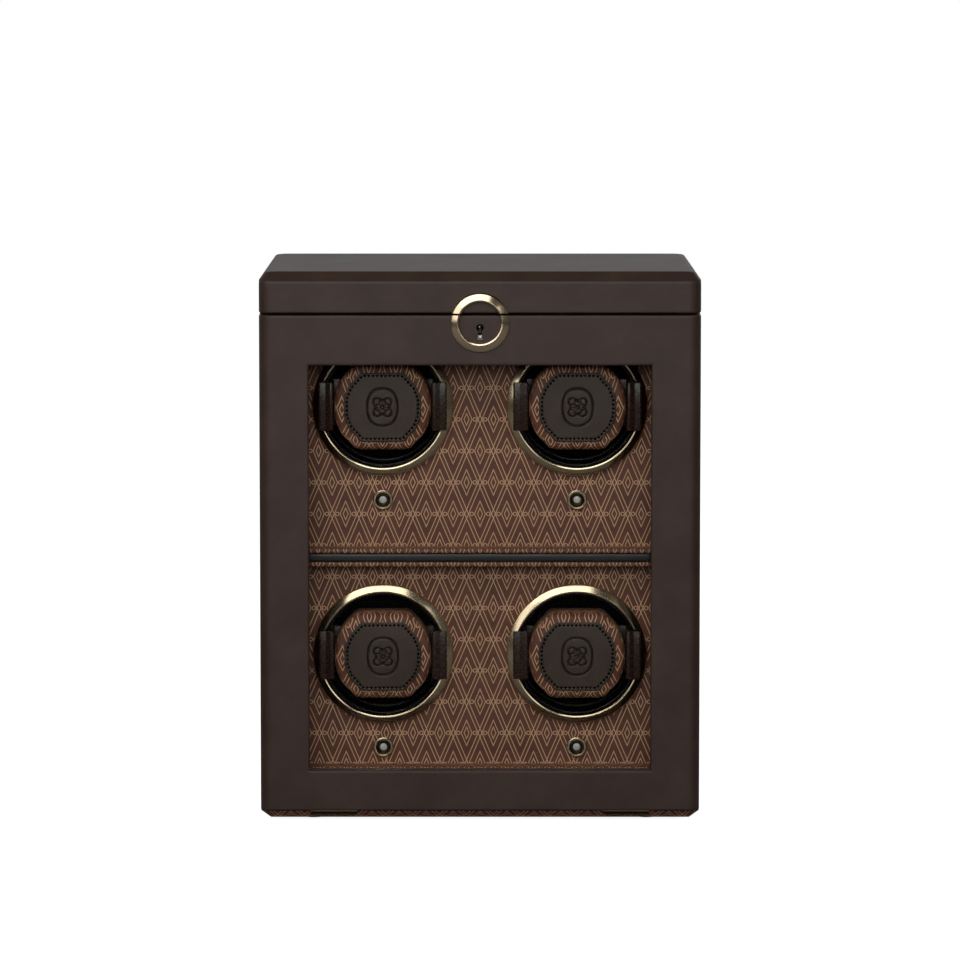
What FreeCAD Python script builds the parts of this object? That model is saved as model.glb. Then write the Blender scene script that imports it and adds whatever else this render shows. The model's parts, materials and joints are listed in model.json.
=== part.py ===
import FreeCAD, Part
import math
import os

import Sketcher

# Watch winder box for four watches, in millimetres.
# X runs to the right, Y from the glazed front to the back, Z up.
# The origin is under the middle of the box, on the surface that the feet stand on.

doc = FreeCAD.newDocument("watch_winder_box")
sheet = doc.addObject("Spreadsheet::Sheet", "sizes")

# Driving dimensions. Each is one cell of the sheet.
DIMENSIONS = {
    # the whole box
    "case_width": 286,
    "case_depth": 215,
    "case_height": 360,
    "corner_radius": 7.5,
    "leather": 1.2,
    "board": 11,
    # base
    "foot_height": 3,
    "foot_radius": 9,
    "foot_inset": 34,
    "plinth_height": 5,
    "plinth_bevel": 6.2,
    "plinth_lip": 0.4,
    "plinth_setback": 3.3,
    "base_board_height": 10,
    # lid
    "lid_height": 26.7,
    "lid_bevel": 6.5,
    "lid_top_board": 9.8,
    "lid_lining_height": 12,
    "seam_gap": 1.3,
    # drop-down door
    "door_thickness": 19.5,
    "door_gap": 0.8,
    "sill_gap": 0.6,
    "stile_width": 32,
    "top_rail": 32.5,
    "bottom_rail": 26.4,
    "glass_setback": 11,
    "glass_thickness": 3,
    "glass_rebate": 6,
    "bead_width": 4.5,
    "edge_round": 0.8,
    # compartments
    "panel_setback": 37.5,
    "panel_thickness": 6,
    "lining": 3,
    "lining_front_gap": 1.2,
    "sill_block": 16,
    "lower_room": 132,
    "shelf_thickness": 5.8,
    "shelf_setback": 0.7,
    "deck_thickness": 9,
    "deck_drop": 1,
    # cups, one of each per watch
    "cup_spacing": 127,
    "lower_cup_rise": 73,
    "upper_cup_rise": 92.7,
    "bezel_inner_radius": 40.65,
    "bezel_width": 5.6,
    "bezel_rise": 6,
    "bezel_lip": 0.6,
    "bezel_wall": 1.75,
    "drum_gap": 0.45,
    "drum_wall": 1.6,
    "drum_depth": 59.5,
    "drum_floor": 3,
    "drum_rise": 1.5,
    "spindle_radius": 4,
    "socket_wall": 2.7,
    "socket_depth": 12,
    # drive
    "motor_plate": 4,
    "plate_gap": 12,
    "bearing_wall": 4,
    "bearing_flange": 2,
    "shaft_clearance": 0.05,
    "drum_pulley_radius": 18,
    "motor_pulley_radius": 6,
    "pulley_flange": 2,
    "pulley_width": 5,
    "pulley_cheek": 1.5,
    "belt_gap": 0.2,
    "belt_thickness": 1.5,
    "belt_width": 4,
    "motor_drop": 34,
    "motor_radius": 12,
    "motor_length": 24,
    "motor_shaft_radius": 1.5,
    # cuffs that the watches are strapped to
    "cuff_width": 65,
    "cuff_height": 58,
    "cuff_depth": 35.5,
    "cuff_flat": 33,
    "cuff_front_gap": 8,
    "cuff_edge_round": 6,
    "cuff_clearance": 0.3,
    "core_width": 48,
    "core_height": 40,
    "core_depth": 30,
    "wing_height": 8,
    "wing_thickness": 1.0,
    "wing_gap": 4.74,
    "ear_height": 31.5,
    "ear_overlap": 1.35,
    "ear_thickness": 3.2,
    "ear_gap": 1.8,
    "ear_round": 1.5,
    "spine_thickness": 3,
    "peg_radius": 6,
    # push buttons
    "button_drop": 62,
    "button_radius": 4.6,
    "button_lens_radius": 2.6,
    "button_dish": 1,
    "button_clearance": 0.3,
    "button_ring_wall": 1,
    "button_ring_rise": 2.2,
    "switch_wall": 0.6,
    "switch_depth": 18,
    "button_length": 8.5,
    "button_travel": 1,
    # lock
    "ring_inner_radius": 13.65,
    "ring_width": 5.7,
    "ring_rise": 3.5,
    "ring_drop": 5.35,
    "keyhole_drop": 3.4,
    "keyhole_radius": 2.6,
    "keyhole_slot": 7.4,
    "lock_case_width": 32,
    "lock_case_depth": 14,
    "lock_plug_radius": 4.9,
    "lock_clearance": 0.1,
    "cam_reach": 13.5,
    "cam_width": 5,
    "cam_thickness": 2,
    "cam_clearance": 0.7,
    "cam_play": 1.3,
    "cam_setback": 3,
    "lock_setback": 2.3,
    "keeper_thickness": 1.2,
    "keeper_border": 2.2,
    # hinges
    "lid_knuckle_radius": 3,
    "lid_pin_radius": 1.2,
    "lid_leaf_thickness": 1.4,
    "lid_leaf_width": 36,
    "lid_leaf_height": 16,
    "lid_hinge_spread": 85,
    "door_knuckle_radius": 2,
    "door_pin_radius": 0.9,
    "door_leaf_thickness": 1.2,
    "door_leaf_width": 30,
    "door_leaf_height": 14,
    "door_hinge_spread": 95,
    "door_axis_setback": 3,
    "pin_clearance": 0.05,
    "knuckle_gap": 0.2,
    "hinge_clearance": 0.3,
    # electrics
    "control_board_width": 120,
    "control_board_depth": 56,
    "control_board_lift": 4,
    "control_board_thickness": 1.6,
    "inlet_bore_radius": 2.8,
    "inlet_radius": 5.5,
    "inlet_flange": 8,
    "inlet_depth": 9,
    "inlet_height": 60,
}

for row, (name, millimetres) in enumerate(DIMENSIONS.items(), start=1):
    sheet.set("A%d" % row, name)
    sheet.set("B%d" % row, str(millimetres))
    sheet.setAlias("B%d" % row, name)
doc.recompute()


class Size:
    """A length written as a formula on the sheet, with its present value beside it."""

    def __init__(self, formula, value):
        self.formula = formula
        self.value = value

    def __add__(self, other):
        other = as_size(other)
        return Size("(%s + %s)" % (self.formula, other.formula), self.value + other.value)

    def __sub__(self, other):
        other = as_size(other)
        return Size("(%s - %s)" % (self.formula, other.formula), self.value - other.value)

    def __mul__(self, other):
        other = as_size(other)
        return Size("(%s * %s)" % (self.formula, other.formula), self.value * other.value)

    def __truediv__(self, other):
        other = as_size(other)
        return Size("(%s / %s)" % (self.formula, other.formula), self.value / other.value)

    def __neg__(self):
        return Size("(0 - %s)" % self.formula, -self.value)

    def __radd__(self, other):
        return as_size(other) + self

    def __rsub__(self, other):
        return as_size(other) - self

    __rmul__ = __mul__


def as_size(number):
    return number if isinstance(number, Size) else Size(repr(number), number)


def wall_chord(radius, half_height):
    """Half the width that a round wall leaves at a given height off its centre."""
    formula = "sqrt(%s * %s - %s * %s)" % (radius.formula, radius.formula, half_height.formula, half_height.formula)
    return Size(formula, math.sqrt(radius.value ** 2 - half_height.value ** 2))


class Dimensions:
    """The sheet's cells by name."""

    def __getattr__(self, name):
        return Size("sizes." + name, float(sheet.get(name)))


d = Dimensions()
subparts = []


# --- helpers -------------------------------------------------------------------------------


def bind(thing, prop, size):
    thing.setExpression(prop, as_size(size).formula)


def place(thing, x=0, y=0, z=0):
    for letter, size in zip("xyz", (x, y, z)):
        bind(thing, "Placement.Base." + letter, size)


def subpart(thing, name):
    """Names a finished piece and puts it on the list to write."""
    thing.Label = name
    subparts.append(thing)
    return thing


def block(name, x, y, z):
    """A Part::Box between the low and high sizes of each axis."""
    thing = doc.addObject("Part::Box", name)
    for prop, (low, high) in zip(("Length", "Width", "Height"), (x, y, z)):
        bind(thing, prop, high - as_size(low))
    place(thing, x[0], y[0], z[0])
    return thing


def rod(name, axis, radius, start, length, centre):
    """A Part::Cylinder along X or Y, from start, at a centre in the two other axes."""
    turned = {"x": FreeCAD.Rotation(FreeCAD.Vector(0, 1, 0), 90), "y": FreeCAD.Rotation(FreeCAD.Vector(1, 0, 0), -90)}
    thing = doc.addObject("Part::Cylinder", name)
    bind(thing, "Radius", radius)
    bind(thing, "Height", length)
    thing.Placement = FreeCAD.Placement(FreeCAD.Vector(), turned[axis])
    if axis == "x":
        place(thing, start, centre[0], centre[1])
    else:
        place(thing, centre[0], start, centre[1])
    return thing


def join(name, pieces):
    thing = doc.addObject("Part::MultiFuse", name)
    thing.Shapes = pieces
    return thing


def cut(name, base, tools):
    thing = doc.addObject("Part::Cut", name)
    thing.Base = base
    thing.Tool = tools[0] if len(tools) == 1 else join(name + "_tools", tools)
    return thing


def group(name, pieces):
    """Identical loose pieces kept together as separate solids."""
    thing = doc.addObject("Part::Compound", name)
    thing.Links = pieces
    return thing


def new_body(name):
    return doc.addObject("PartDesign::Body", name)


def sketch_on(body, name, role):
    sketch = body.newObject("Sketcher::SketchObject", name)
    plane = next(feature for feature in body.Origin.OriginFeatures if feature.Role == role)
    sketch.AttachmentSupport = (plane, [""])
    sketch.MapMode = "FlatFace"
    return sketch


def pin_point(sketch, geometry, point, x, y):
    """Ties one sketch point to its two sizes."""
    for kind, size, axis in (("DistanceX", as_size(x), -2), ("DistanceY", as_size(y), -1)):
        if size.formula == "0":
            sketch.addConstraint(Sketcher.Constraint("PointOnObject", geometry, point, axis))
        else:
            index = sketch.addConstraint(Sketcher.Constraint(kind, -1, 1, geometry, point, size.value))
            sketch.setExpression("Constraints[%d]" % index, size.formula)


def outline(sketch, points):
    """A closed outline of straight lines through points given as sizes."""
    first = sketch.GeometryCount
    spots = [FreeCAD.Vector(as_size(x).value, as_size(y).value, 0) for x, y in points]
    count = len(points)
    for i in range(count):
        sketch.addGeometry(Part.LineSegment(spots[i], spots[(i + 1) % count]))
    for i in range(count):
        sketch.addConstraint(Sketcher.Constraint("Coincident", first + i, 2, first + (i + 1) % count, 1))
    for i, (x, y) in enumerate(points):
        pin_point(sketch, first + i, 1, x, y)


def rectangle(sketch, x, y):
    outline(sketch, [(x[0], y[0]), (x[1], y[0]), (x[1], y[1]), (x[0], y[1])])


def circle(sketch, x, y, radius):
    centre = FreeCAD.Vector(as_size(x).value, as_size(y).value, 0)
    geometry = sketch.addGeometry(Part.Circle(centre, FreeCAD.Vector(0, 0, 1), as_size(radius).value))
    pin_point(sketch, geometry, 3, x, y)
    index = sketch.addConstraint(Sketcher.Constraint("Radius", geometry, as_size(radius).value))
    bind(sketch, "Constraints[%d]" % index, radius)


def feature(body, kind, name, sketch, length, backwards=False, midplane=False):
    """A Pad or a Pocket of a sketch."""
    thing = body.newObject("PartDesign::" + kind, name)
    thing.Profile = sketch
    bind(thing, "Length", length)
    thing.Reversed = backwards
    thing.Midplane = midplane
    return thing


def turned_body(name, points):
    """A body turned round the Y axis from (radius, y) points."""
    body = new_body(name)
    sketch = sketch_on(body, name + "_profile", "XY_Plane")
    outline(sketch, points)
    turn = body.newObject("PartDesign::Revolution", name + "_turned")
    turn.Profile = sketch
    turn.ReferenceAxis = (sketch, ["V_Axis"])
    turn.Angle = 360
    return body


def dress(body, kind, name, size, wanted, size_name):
    """A Fillet or a Chamfer on the straight edges of the body's tip that wanted(edge) picks."""
    doc.recompute()
    base = body.Tip
    names = ["Edge%d" % (i + 1) for i, edge in enumerate(base.Shape.Edges) if wanted(edge)]
    thing = body.newObject("PartDesign::" + kind, name)
    thing.Base = (base, names)
    bind(thing, size_name, size)
    return thing


def runs_along(letter, *tests):
    """Picks straight edges along one axis that pass every test."""
    axis = {"x": FreeCAD.Vector(1, 0, 0), "y": FreeCAD.Vector(0, 1, 0), "z": FreeCAD.Vector(0, 0, 1)}[letter]

    def wanted(edge):
        if not isinstance(edge.Curve, Part.Line):
            return False
        middle = edge.CenterOfMass
        return abs(edge.Curve.Direction * axis) > 0.999 and all(test(middle) for test in tests)

    return wanted


def lies_at(letter, size):
    """Picks any edge that lies in a plane across one axis."""
    place_at = as_size(size).value

    def wanted(edge):
        spots = [getattr(vertex.Point, letter) for vertex in edge.Vertexes] + [getattr(edge.CenterOfMass, letter)]
        return all(abs(spot - place_at) < 0.001 for spot in spots)

    return wanted


# --- places worked out from the driving dimensions -------------------------------------------

side = d.case_width / 2
front = -(d.case_depth / 2)
back = d.case_depth / 2
core_side = side - d.leather
inner_side = core_side - d.board
core_back = back - d.leather
inner_back = core_back - d.board
plinth_top = d.foot_height + d.plinth_height
base_top = plinth_top + d.base_board_height
lid_bottom = d.case_height - d.lid_height
rim = lid_bottom - d.seam_gap
door_bottom = plinth_top + d.sill_gap
door_back = front + d.door_thickness
case_front = door_back + d.door_gap
lining_front = case_front + d.lining_front_gap
panel_front = front + d.panel_setback
panel_back = panel_front + d.panel_thickness
inner_lining = inner_side - d.lining
lower_floor = base_top + d.sill_block
lower_ceiling = lower_floor + d.lower_room
shelf_low = lower_ceiling + d.lining
shelf_top = shelf_low + d.shelf_thickness
upper_floor = shelf_top + d.lining
lower_cup_z = lower_floor + d.lower_cup_rise
upper_cup_z = upper_floor + d.upper_cup_rise
deck_top = rim - d.deck_drop
deck_low = deck_top - d.deck_thickness
window_side = side - d.stile_width
window_low = door_bottom + d.bottom_rail
window_high = rim - d.top_rail
glass_front = front + d.glass_setback
glass_back = glass_front + d.glass_thickness
drum_front = panel_front - d.drum_rise
drum_back = drum_front + d.drum_depth
plate_front = drum_back + d.plate_gap
plate_back = plate_front + d.motor_plate
drum_radius = d.bezel_inner_radius - d.drum_gap
drum_bore = drum_radius - d.drum_wall
cuff_front = glass_back + d.cuff_front_gap
cuff_back = cuff_front + d.cuff_depth
bezel_front = panel_front - d.bezel_rise
bezel_outer = d.bezel_inner_radius + d.bezel_width
ear_reach = d.bezel_inner_radius + d.ear_overlap
door_axis_y = front + d.door_axis_setback
lid_axis_y = back + d.lid_knuckle_radius
lid_axis_z = rim + d.seam_gap / 2
ring_z = rim + d.seam_gap / 2 - d.ring_drop
ring_outer = d.ring_inner_radius + d.ring_width
keyhole_z = ring_z - d.keyhole_drop

CUPS = [
    (row + "_" + hand, sign * d.cup_spacing / 2, height)
    for row, height in (("upper", upper_cup_z), ("lower", lower_cup_z))
    for hand, sign in (("left", -1), ("right", 1))
]


# --- base ------------------------------------------------------------------------------------

feet = []
for sign_x in (-1, 1):
    for sign_y in (-1, 1):
        foot = doc.addObject("Part::Cone", "foot")
        bind(foot, "Radius1", d.foot_radius - 1)
        bind(foot, "Radius2", d.foot_radius)
        bind(foot, "Height", d.foot_height)
        place(foot, sign_x * (side - d.foot_inset), sign_y * (back - d.foot_inset))
        feet.append(foot)
subpart(group("feet_group", feet), "rubber_feet")

# The plinth is cut away all round its lower edge, and stands back in front so that the door's lower edge,
# which swings down in front of it, has room.
plinth = new_body("plinth_body")
plan = sketch_on(plinth, "plinth_plan", "XY_Plane")
rectangle(plan, (-side, side), (front + d.plinth_setback, back))
feature(plinth, "Pad", "plinth_block", plan, d.plinth_height, backwards=True)
dress(plinth, "Fillet", "plinth_corners", d.corner_radius, runs_along("z"), "Radius")
bevel = dress(plinth, "Chamfer", "plinth_undercut", d.plinth_bevel, lies_at("z", -d.plinth_height), "Size")
bevel.ChamferType = "Two distances"
bind(bevel, "Size2", d.plinth_height - d.plinth_lip)
bevel.FlipDirection = True
place(plinth, z=plinth_top)
hinge_notches = [
    block(
        "plinth_notch",
        (sign * d.door_hinge_spread - d.door_leaf_width / 2 - d.hinge_clearance,
         sign * d.door_hinge_spread + d.door_leaf_width / 2 + d.hinge_clearance),
        (front, door_axis_y + d.door_knuckle_radius + d.hinge_clearance),
        (plinth_top - d.door_knuckle_radius - d.hinge_clearance, plinth_top + 1),
    )
    for sign in (-1, 1)
]
sill_slots = [
    block(
        "sill_slot",
        (sign * d.door_hinge_spread - d.door_leaf_width / 2, sign * d.door_hinge_spread + d.door_leaf_width / 2),
        (front + d.plinth_setback - 1, door_axis_y + d.door_leaf_height + d.door_knuckle_radius),
        (plinth_top - d.door_leaf_thickness, plinth_top + 1),
    )
    for sign in (-1, 1)
]
subpart(cut("plinth_with_hinge_slots", plinth, hinge_notches + sill_slots), "base_plinth")

board_front = case_front + d.leather
subpart(block("base", (-inner_side, inner_side), (board_front, inner_back), (plinth_top, base_top)), "base_board")


# --- walls -----------------------------------------------------------------------------------

board_top = rim - d.leather

for name, sign in (("left", -1), ("right", 1)):
    body = new_body(name + "_side_body")
    plan = sketch_on(body, name + "_side_plan", "XY_Plane")
    rectangle(plan, (sign * inner_side, sign * core_side), (board_front, core_back))
    feature(body, "Pad", name + "_side_pad", plan, board_top - plinth_top)
    outer_corner = runs_along("z", lambda spot: spot.y > 0 and abs(spot.x) > inner_side.value + 1)
    dress(body, "Fillet", name + "_side_corner", d.corner_radius - d.leather, outer_corner, "Radius")
    place(body, z=plinth_top)
    subpart(body, name + "_side_board")

inlet_hole = rod("inlet_hole", "y", d.inlet_radius, inner_back - 1, d.board + d.leather + 2, (0, d.inlet_height))
back_panel = block("back_panel", (-inner_side, inner_side), (inner_back, core_back), (plinth_top, board_top))
subpart(cut("back_panel_with_inlet", back_panel, [inlet_hole]), "back_board")

# The leather goes round the outside, over the rim and a little way round the front edges of the walls.
hide = new_body("cabinet_hide")
plan = sketch_on(hide, "hide_plan", "XY_Plane")
rectangle(plan, (-side, side), (case_front, back))
feature(hide, "Pad", "hide_block", plan, rim - plinth_top)
dress(hide, "Fillet", "hide_corners", d.corner_radius, runs_along("z", lambda spot: spot.y > 0), "Radius")
place(hide, z=plinth_top)
wall_room = new_body("wall_room")
plan = sketch_on(wall_room, "wall_room_plan", "XY_Plane")
rectangle(plan, (-core_side, core_side), (board_front, core_back))
feature(wall_room, "Pad", "wall_room_block", plan, board_top - plinth_top)
inner_corner = d.corner_radius - d.leather
dress(wall_room, "Fillet", "wall_room_corners", inner_corner, runs_along("z", lambda spot: spot.y > 0), "Radius")
place(wall_room, z=plinth_top)
inside = block("inside", (-inner_side, inner_side), (front, inner_back), (plinth_top - 1, d.case_height))
skin_hole = rod("skin_inlet_hole", "y", d.inlet_radius, inner_back - 1, d.board + d.leather + 2, (0, d.inlet_height))
subpart(cut("cabinet_skin", hide, [wall_room, inside, skin_hole]), "cabinet_leather")


# --- shelf, deck and compartment linings --------------------------------------------------------

shelf_front = lining_front + d.shelf_setback
subpart(block("shelf", (-inner_side, inner_side), (shelf_front, inner_back), (shelf_low, shelf_top)), "shelf_board")
subpart(block("deck", (-inner_side, inner_side), (panel_back, inner_back), (deck_low, deck_top)), "top_deck")

lower = new_body("lower_lining_body")
face = sketch_on(lower, "lower_lining_face", "XZ_Plane")
rectangle(face, (-inner_side, inner_side), (base_top, shelf_low))
rectangle(face, (-inner_lining, inner_lining), (lower_floor, lower_ceiling))
feature(lower, "Pad", "lower_lining_frame", face, panel_back - lining_front)
place(lower, y=panel_back)
subpart(lower, "lower_lining")

upper = new_body("upper_lining_body")
face = sketch_on(upper, "upper_lining_face", "XZ_Plane")
outline(face, [
    (-inner_side, shelf_top), (inner_side, shelf_top), (inner_side, deck_top), (inner_lining, deck_top),
    (inner_lining, upper_floor), (-inner_lining, upper_floor), (-inner_lining, deck_top), (-inner_side, deck_top),
])
feature(upper, "Pad", "upper_lining_frame", face, panel_back - lining_front)
place(upper, y=panel_back)
subpart(upper, "upper_lining")


# --- module panels and motor plates ----------------------------------------------------------------

cup_hole = d.bezel_inner_radius + d.bezel_wall
switch_radius = d.button_radius + d.button_clearance + d.switch_wall
bearing_radius = d.spindle_radius + d.shaft_clearance + d.bearing_wall

for row, low, high, centre in (
    ("upper", upper_floor, deck_top, upper_cup_z),
    ("lower", lower_floor, lower_ceiling, lower_cup_z),
):
    body = new_body(row + "_panel_body")
    face = sketch_on(body, row + "_panel_face", "XZ_Plane")
    rectangle(face, (-inner_lining, inner_lining), (low, high))
    for sign in (-1, 1):
        circle(face, sign * d.cup_spacing / 2, centre, cup_hole)
        circle(face, sign * d.cup_spacing / 2, centre - d.button_drop, switch_radius)
    feature(body, "Pad", row + "_panel_pad", face, d.panel_thickness)
    place(body, y=panel_back)
    subpart(body, row + "_module_panel")

for row, low, high, centre in (
    ("upper", shelf_top, deck_low, upper_cup_z),
    ("lower", base_top, shelf_low, lower_cup_z),
):
    body = new_body(row + "_plate_body")
    face = sketch_on(body, row + "_plate_face", "XZ_Plane")
    rectangle(face, (-inner_side, inner_side), (low, high))
    for sign in (-1, 1):
        circle(face, sign * d.cup_spacing / 2, centre, bearing_radius)
        circle(face, sign * d.cup_spacing / 2, centre - d.motor_drop, d.motor_shaft_radius + 1)
    feature(body, "Pad", row + "_plate_pad", face, d.motor_plate)
    place(body, y=plate_back)
    subpart(body, row + "_motor_plate")


# --- four winders ------------------------------------------------------------------------------

pulley_back = plate_front - d.bearing_flange - 1
pulley_front = pulley_back - d.pulley_width - 2 * d.pulley_cheek
spindle_end = plate_back + 4
groove_front = pulley_front + d.pulley_cheek
groove_back = pulley_back - d.pulley_cheek


def bezel(x, z):
    """Champagne ring round a cup: a bevel up to a narrow front lip, and a wall through the panel."""
    inner = d.bezel_inner_radius
    body = turned_body("bezel", [
        (inner, panel_back), (inner, bezel_front), (inner + d.bezel_lip, bezel_front),
        (bezel_outer, panel_front - 1), (bezel_outer, panel_front),
        (cup_hole, panel_front), (cup_hole, panel_back),
    ])
    place(body, x=x, z=z)
    return body


def switch_housing(x, z):
    """Metal ring and barrel that the button slides in."""
    bore = d.button_radius + d.button_clearance
    bottom = panel_front + d.switch_depth
    body = turned_body("switch", [
        (bore, panel_front - d.button_ring_rise), (bore + d.button_ring_wall, panel_front - d.button_ring_rise),
        (bore + d.button_ring_wall, panel_front), (switch_radius, panel_front), (switch_radius, bottom),
        (0, bottom), (0, bottom - 2), (bore, bottom - 2),
    ])
    place(body, x=x, z=z)
    return body


def bearing(x, z):
    """Flanged bush pressed into the motor plate."""
    bore = d.spindle_radius + d.shaft_clearance
    body = turned_body("bearing", [
        (bore, plate_front - d.bearing_flange), (bearing_radius + 2, plate_front - d.bearing_flange),
        (bearing_radius + 2, plate_front), (bearing_radius, plate_front), (bearing_radius, plate_back + 2),
        (bore, plate_back + 2),
    ])
    place(body, x=x, z=z)
    return body


def motor(x, z):
    """Gear motor behind the plate, with a bore for its own shaft and a smaller can behind the gearbox."""
    bore = d.motor_shaft_radius + d.shaft_clearance
    gearbox_end = plate_back + d.motor_length * 0.45
    motor_end = plate_back + d.motor_length
    body = turned_body("motor", [
        (bore, plate_back), (d.motor_radius, plate_back), (d.motor_radius, gearbox_end),
        (d.motor_radius - 2, gearbox_end), (d.motor_radius - 2, motor_end), (0, motor_end),
        (0, plate_back + 8), (bore, plate_back + 8),
    ])
    place(body, x=x, z=z)
    return body


def belt_loop(y, thickness, outward):
    """A straight-sided loop round both pulleys, as a solid, some way outside their grooves."""
    big = d.drum_pulley_radius.value + outward
    small = d.motor_pulley_radius.value + outward
    drop = d.motor_drop.value
    tilt = (big - small) / drop
    rise = math.sqrt(1 - tilt * tilt)
    spots = {}
    for hand in (-1, 1):
        spots[hand, "big"] = FreeCAD.Vector(hand * big * rise, y, -big * tilt)
        spots[hand, "small"] = FreeCAD.Vector(hand * small * rise, y, -drop - small * tilt)
    over = Part.Arc(spots[-1, "big"], FreeCAD.Vector(0, y, big), spots[1, "big"])
    under = Part.Arc(spots[1, "small"], FreeCAD.Vector(0, y, -drop - small), spots[-1, "small"])
    right = Part.LineSegment(spots[1, "big"], spots[1, "small"])
    left = Part.LineSegment(spots[-1, "small"], spots[-1, "big"])
    wire = Part.Wire([edge.toShape() for edge in (over, right, under, left)])
    return Part.Face(wire).extrude(FreeCAD.Vector(0, thickness, 0))


def belt(x, z):
    """Flat belt: the space between two loops."""
    middle = (groove_front.value + groove_back.value) / 2
    start = middle - d.belt_width.value / 2
    inner_loop = belt_loop(start, d.belt_width.value, d.belt_gap.value)
    outer_loop = belt_loop(start, d.belt_width.value, d.belt_gap.value + d.belt_thickness.value)
    thing = doc.addObject("Part::Feature", "belt")
    thing.Shape = outer_loop.cut(inner_loop)
    place(thing, x=x, z=z)
    return thing


def drum(name, x, z):
    """Black cup with its spindle behind and a socket for the cuff's peg, and the pulley pressed on the spindle."""
    floor_front = drum_back - d.drum_floor
    socket_bore = d.peg_radius + d.cuff_clearance
    socket_end = floor_front - d.socket_depth
    socket_side = socket_bore + d.socket_wall
    cup = turned_body(name + "_cup", [
        (0, spindle_end), (d.spindle_radius, spindle_end), (d.spindle_radius, drum_back), (drum_radius, drum_back),
        (drum_radius, drum_front), (drum_bore, drum_front), (drum_bore, floor_front), (socket_side, floor_front),
        (socket_side, socket_end), (socket_bore, socket_end), (socket_bore, floor_front), (0, floor_front),
    ])
    flange = d.drum_pulley_radius + d.pulley_flange
    pulley = turned_body(name + "_pulley", [
        (d.spindle_radius, pulley_front), (flange, pulley_front), (flange, groove_front),
        (d.drum_pulley_radius, groove_front), (d.drum_pulley_radius, groove_back), (flange, groove_back),
        (flange, pulley_back), (d.spindle_radius, pulley_back),
    ])
    both = group(name + "_pair", [cup, pulley])
    place(both, x=x, z=z)
    return both


def motor_pulley(name, x, z):
    """Small pulley with the motor's shaft in it."""
    flange = d.motor_pulley_radius + d.pulley_flange
    shaft = d.motor_shaft_radius
    body = turned_body(name + "_body", [
        (0, pulley_front), (flange, pulley_front), (flange, groove_front), (d.motor_pulley_radius, groove_front),
        (d.motor_pulley_radius, groove_back), (flange, groove_back), (flange, pulley_back), (shaft, pulley_back),
        (shaft, plate_back + 7.5), (0, plate_back + 7.5),
    ])
    place(body, x=x, z=z - d.motor_drop)
    return body


def mirrored(points):
    """The points with their mirror images about the Y axis, in order round the outline."""
    return points + [(-x, y) for x, y in reversed(points)]


wing_out = wall_chord(drum_bore, d.wing_height / 2) - d.wing_gap
wing_in = wing_out - d.wing_thickness
ear_back = bezel_front - d.ear_gap
ear_front = ear_back - d.ear_thickness


def cuff_spine(name, x, z):
    """Core and spine of a cuff, with its two wings and the peg behind."""
    body = new_body(name + "_body")
    plan = sketch_on(body, name + "_wings", "XY_Plane")
    outline(plan, mirrored([
        (wing_out, cuff_back + d.spine_thickness), (wing_out, ear_back), (wing_in, ear_back), (wing_in, cuff_back),
    ]))
    feature(body, "Pad", name + "_wing_pad", plan, d.wing_height, midplane=True)
    plan = sketch_on(body, name + "_core_plan", "XY_Plane")
    rectangle(plan, (-(d.core_width / 2), d.core_width / 2), (cuff_back - d.core_depth, cuff_back + 0.5))
    feature(body, "Pad", name + "_core", plan, d.core_height, midplane=True)
    plan = sketch_on(body, name + "_peg_profile", "XY_Plane")
    peg_end = drum_back - d.drum_floor - d.cuff_clearance
    rectangle(plan, (0, d.peg_radius), (cuff_back + 1, peg_end))
    peg = body.newObject("PartDesign::Revolution", name + "_peg")
    peg.Profile = plan
    peg.ReferenceAxis = (plan, ["V_Axis"])
    peg.Angle = 360
    place(body, x=x, z=z)
    return body


def cuff_ear(name, x, z, sign):
    """Grip that is fixed across the end of a wing and reaches out over the bezel."""
    body = new_body(name + "_body")
    plan = sketch_on(body, name + "_plan", "XY_Plane")
    corners = [
        (wing_in, ear_back), (ear_reach, ear_back), (ear_reach, ear_front + d.ear_round),
        (ear_reach - d.ear_round, ear_front), (wing_in + d.ear_round, ear_front), (wing_in, ear_front + d.ear_round),
    ]
    outline(plan, [(sign * across, depth) for across, depth in corners])
    feature(body, "Pad", name + "_pad", plan, d.ear_height, midplane=True)
    place(body, x=x, z=z)
    return body


def cuff_frame(name, x, z):
    """Spine of a cuff with an ear on each wing."""
    ears = [cuff_ear(name + side_name + "_ear", x, z, sign) for side_name, sign in (("_left", -1), ("_right", 1))]
    return group(name + "_group", [cuff_spine(name + "_spine", x, z)] + ears)


def cuff_pad(name, x, z):
    """Upholstered cushion over the core, eight-sided with rounded corners."""
    half_width = d.cuff_width / 2
    half_height = d.cuff_height / 2
    half_flat = d.cuff_flat / 2
    shoulder = half_width - 4
    body = new_body(name + "_body")
    face = sketch_on(body, name + "_face", "XZ_Plane")
    quarter = [(half_width, half_height * 0.25), (shoulder, half_height * 0.6), (half_flat, half_height)]
    upper_half = mirrored(quarter)
    outline(face, upper_half + [(across, -up) for across, up in reversed(upper_half)])
    feature(body, "Pad", name + "_block", face, d.cuff_depth)
    dress(body, "Fillet", name + "_corners", 4, runs_along("y"), "Radius")
    dress(body, "Fillet", name + "_front_round", d.cuff_edge_round, lies_at("y", -d.cuff_depth), "Radius")
    face = sketch_on(body, name + "_core_room", "XZ_Plane")
    room = d.cuff_clearance
    across = d.core_width / 2 + room
    up = d.core_height / 2 + room
    rectangle(face, (-across, across), (-up, up))
    feature(body, "Pocket", name + "_hollow", face, d.core_depth + room, backwards=True)
    place(body, x=x, y=cuff_back, z=z)
    return body


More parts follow.
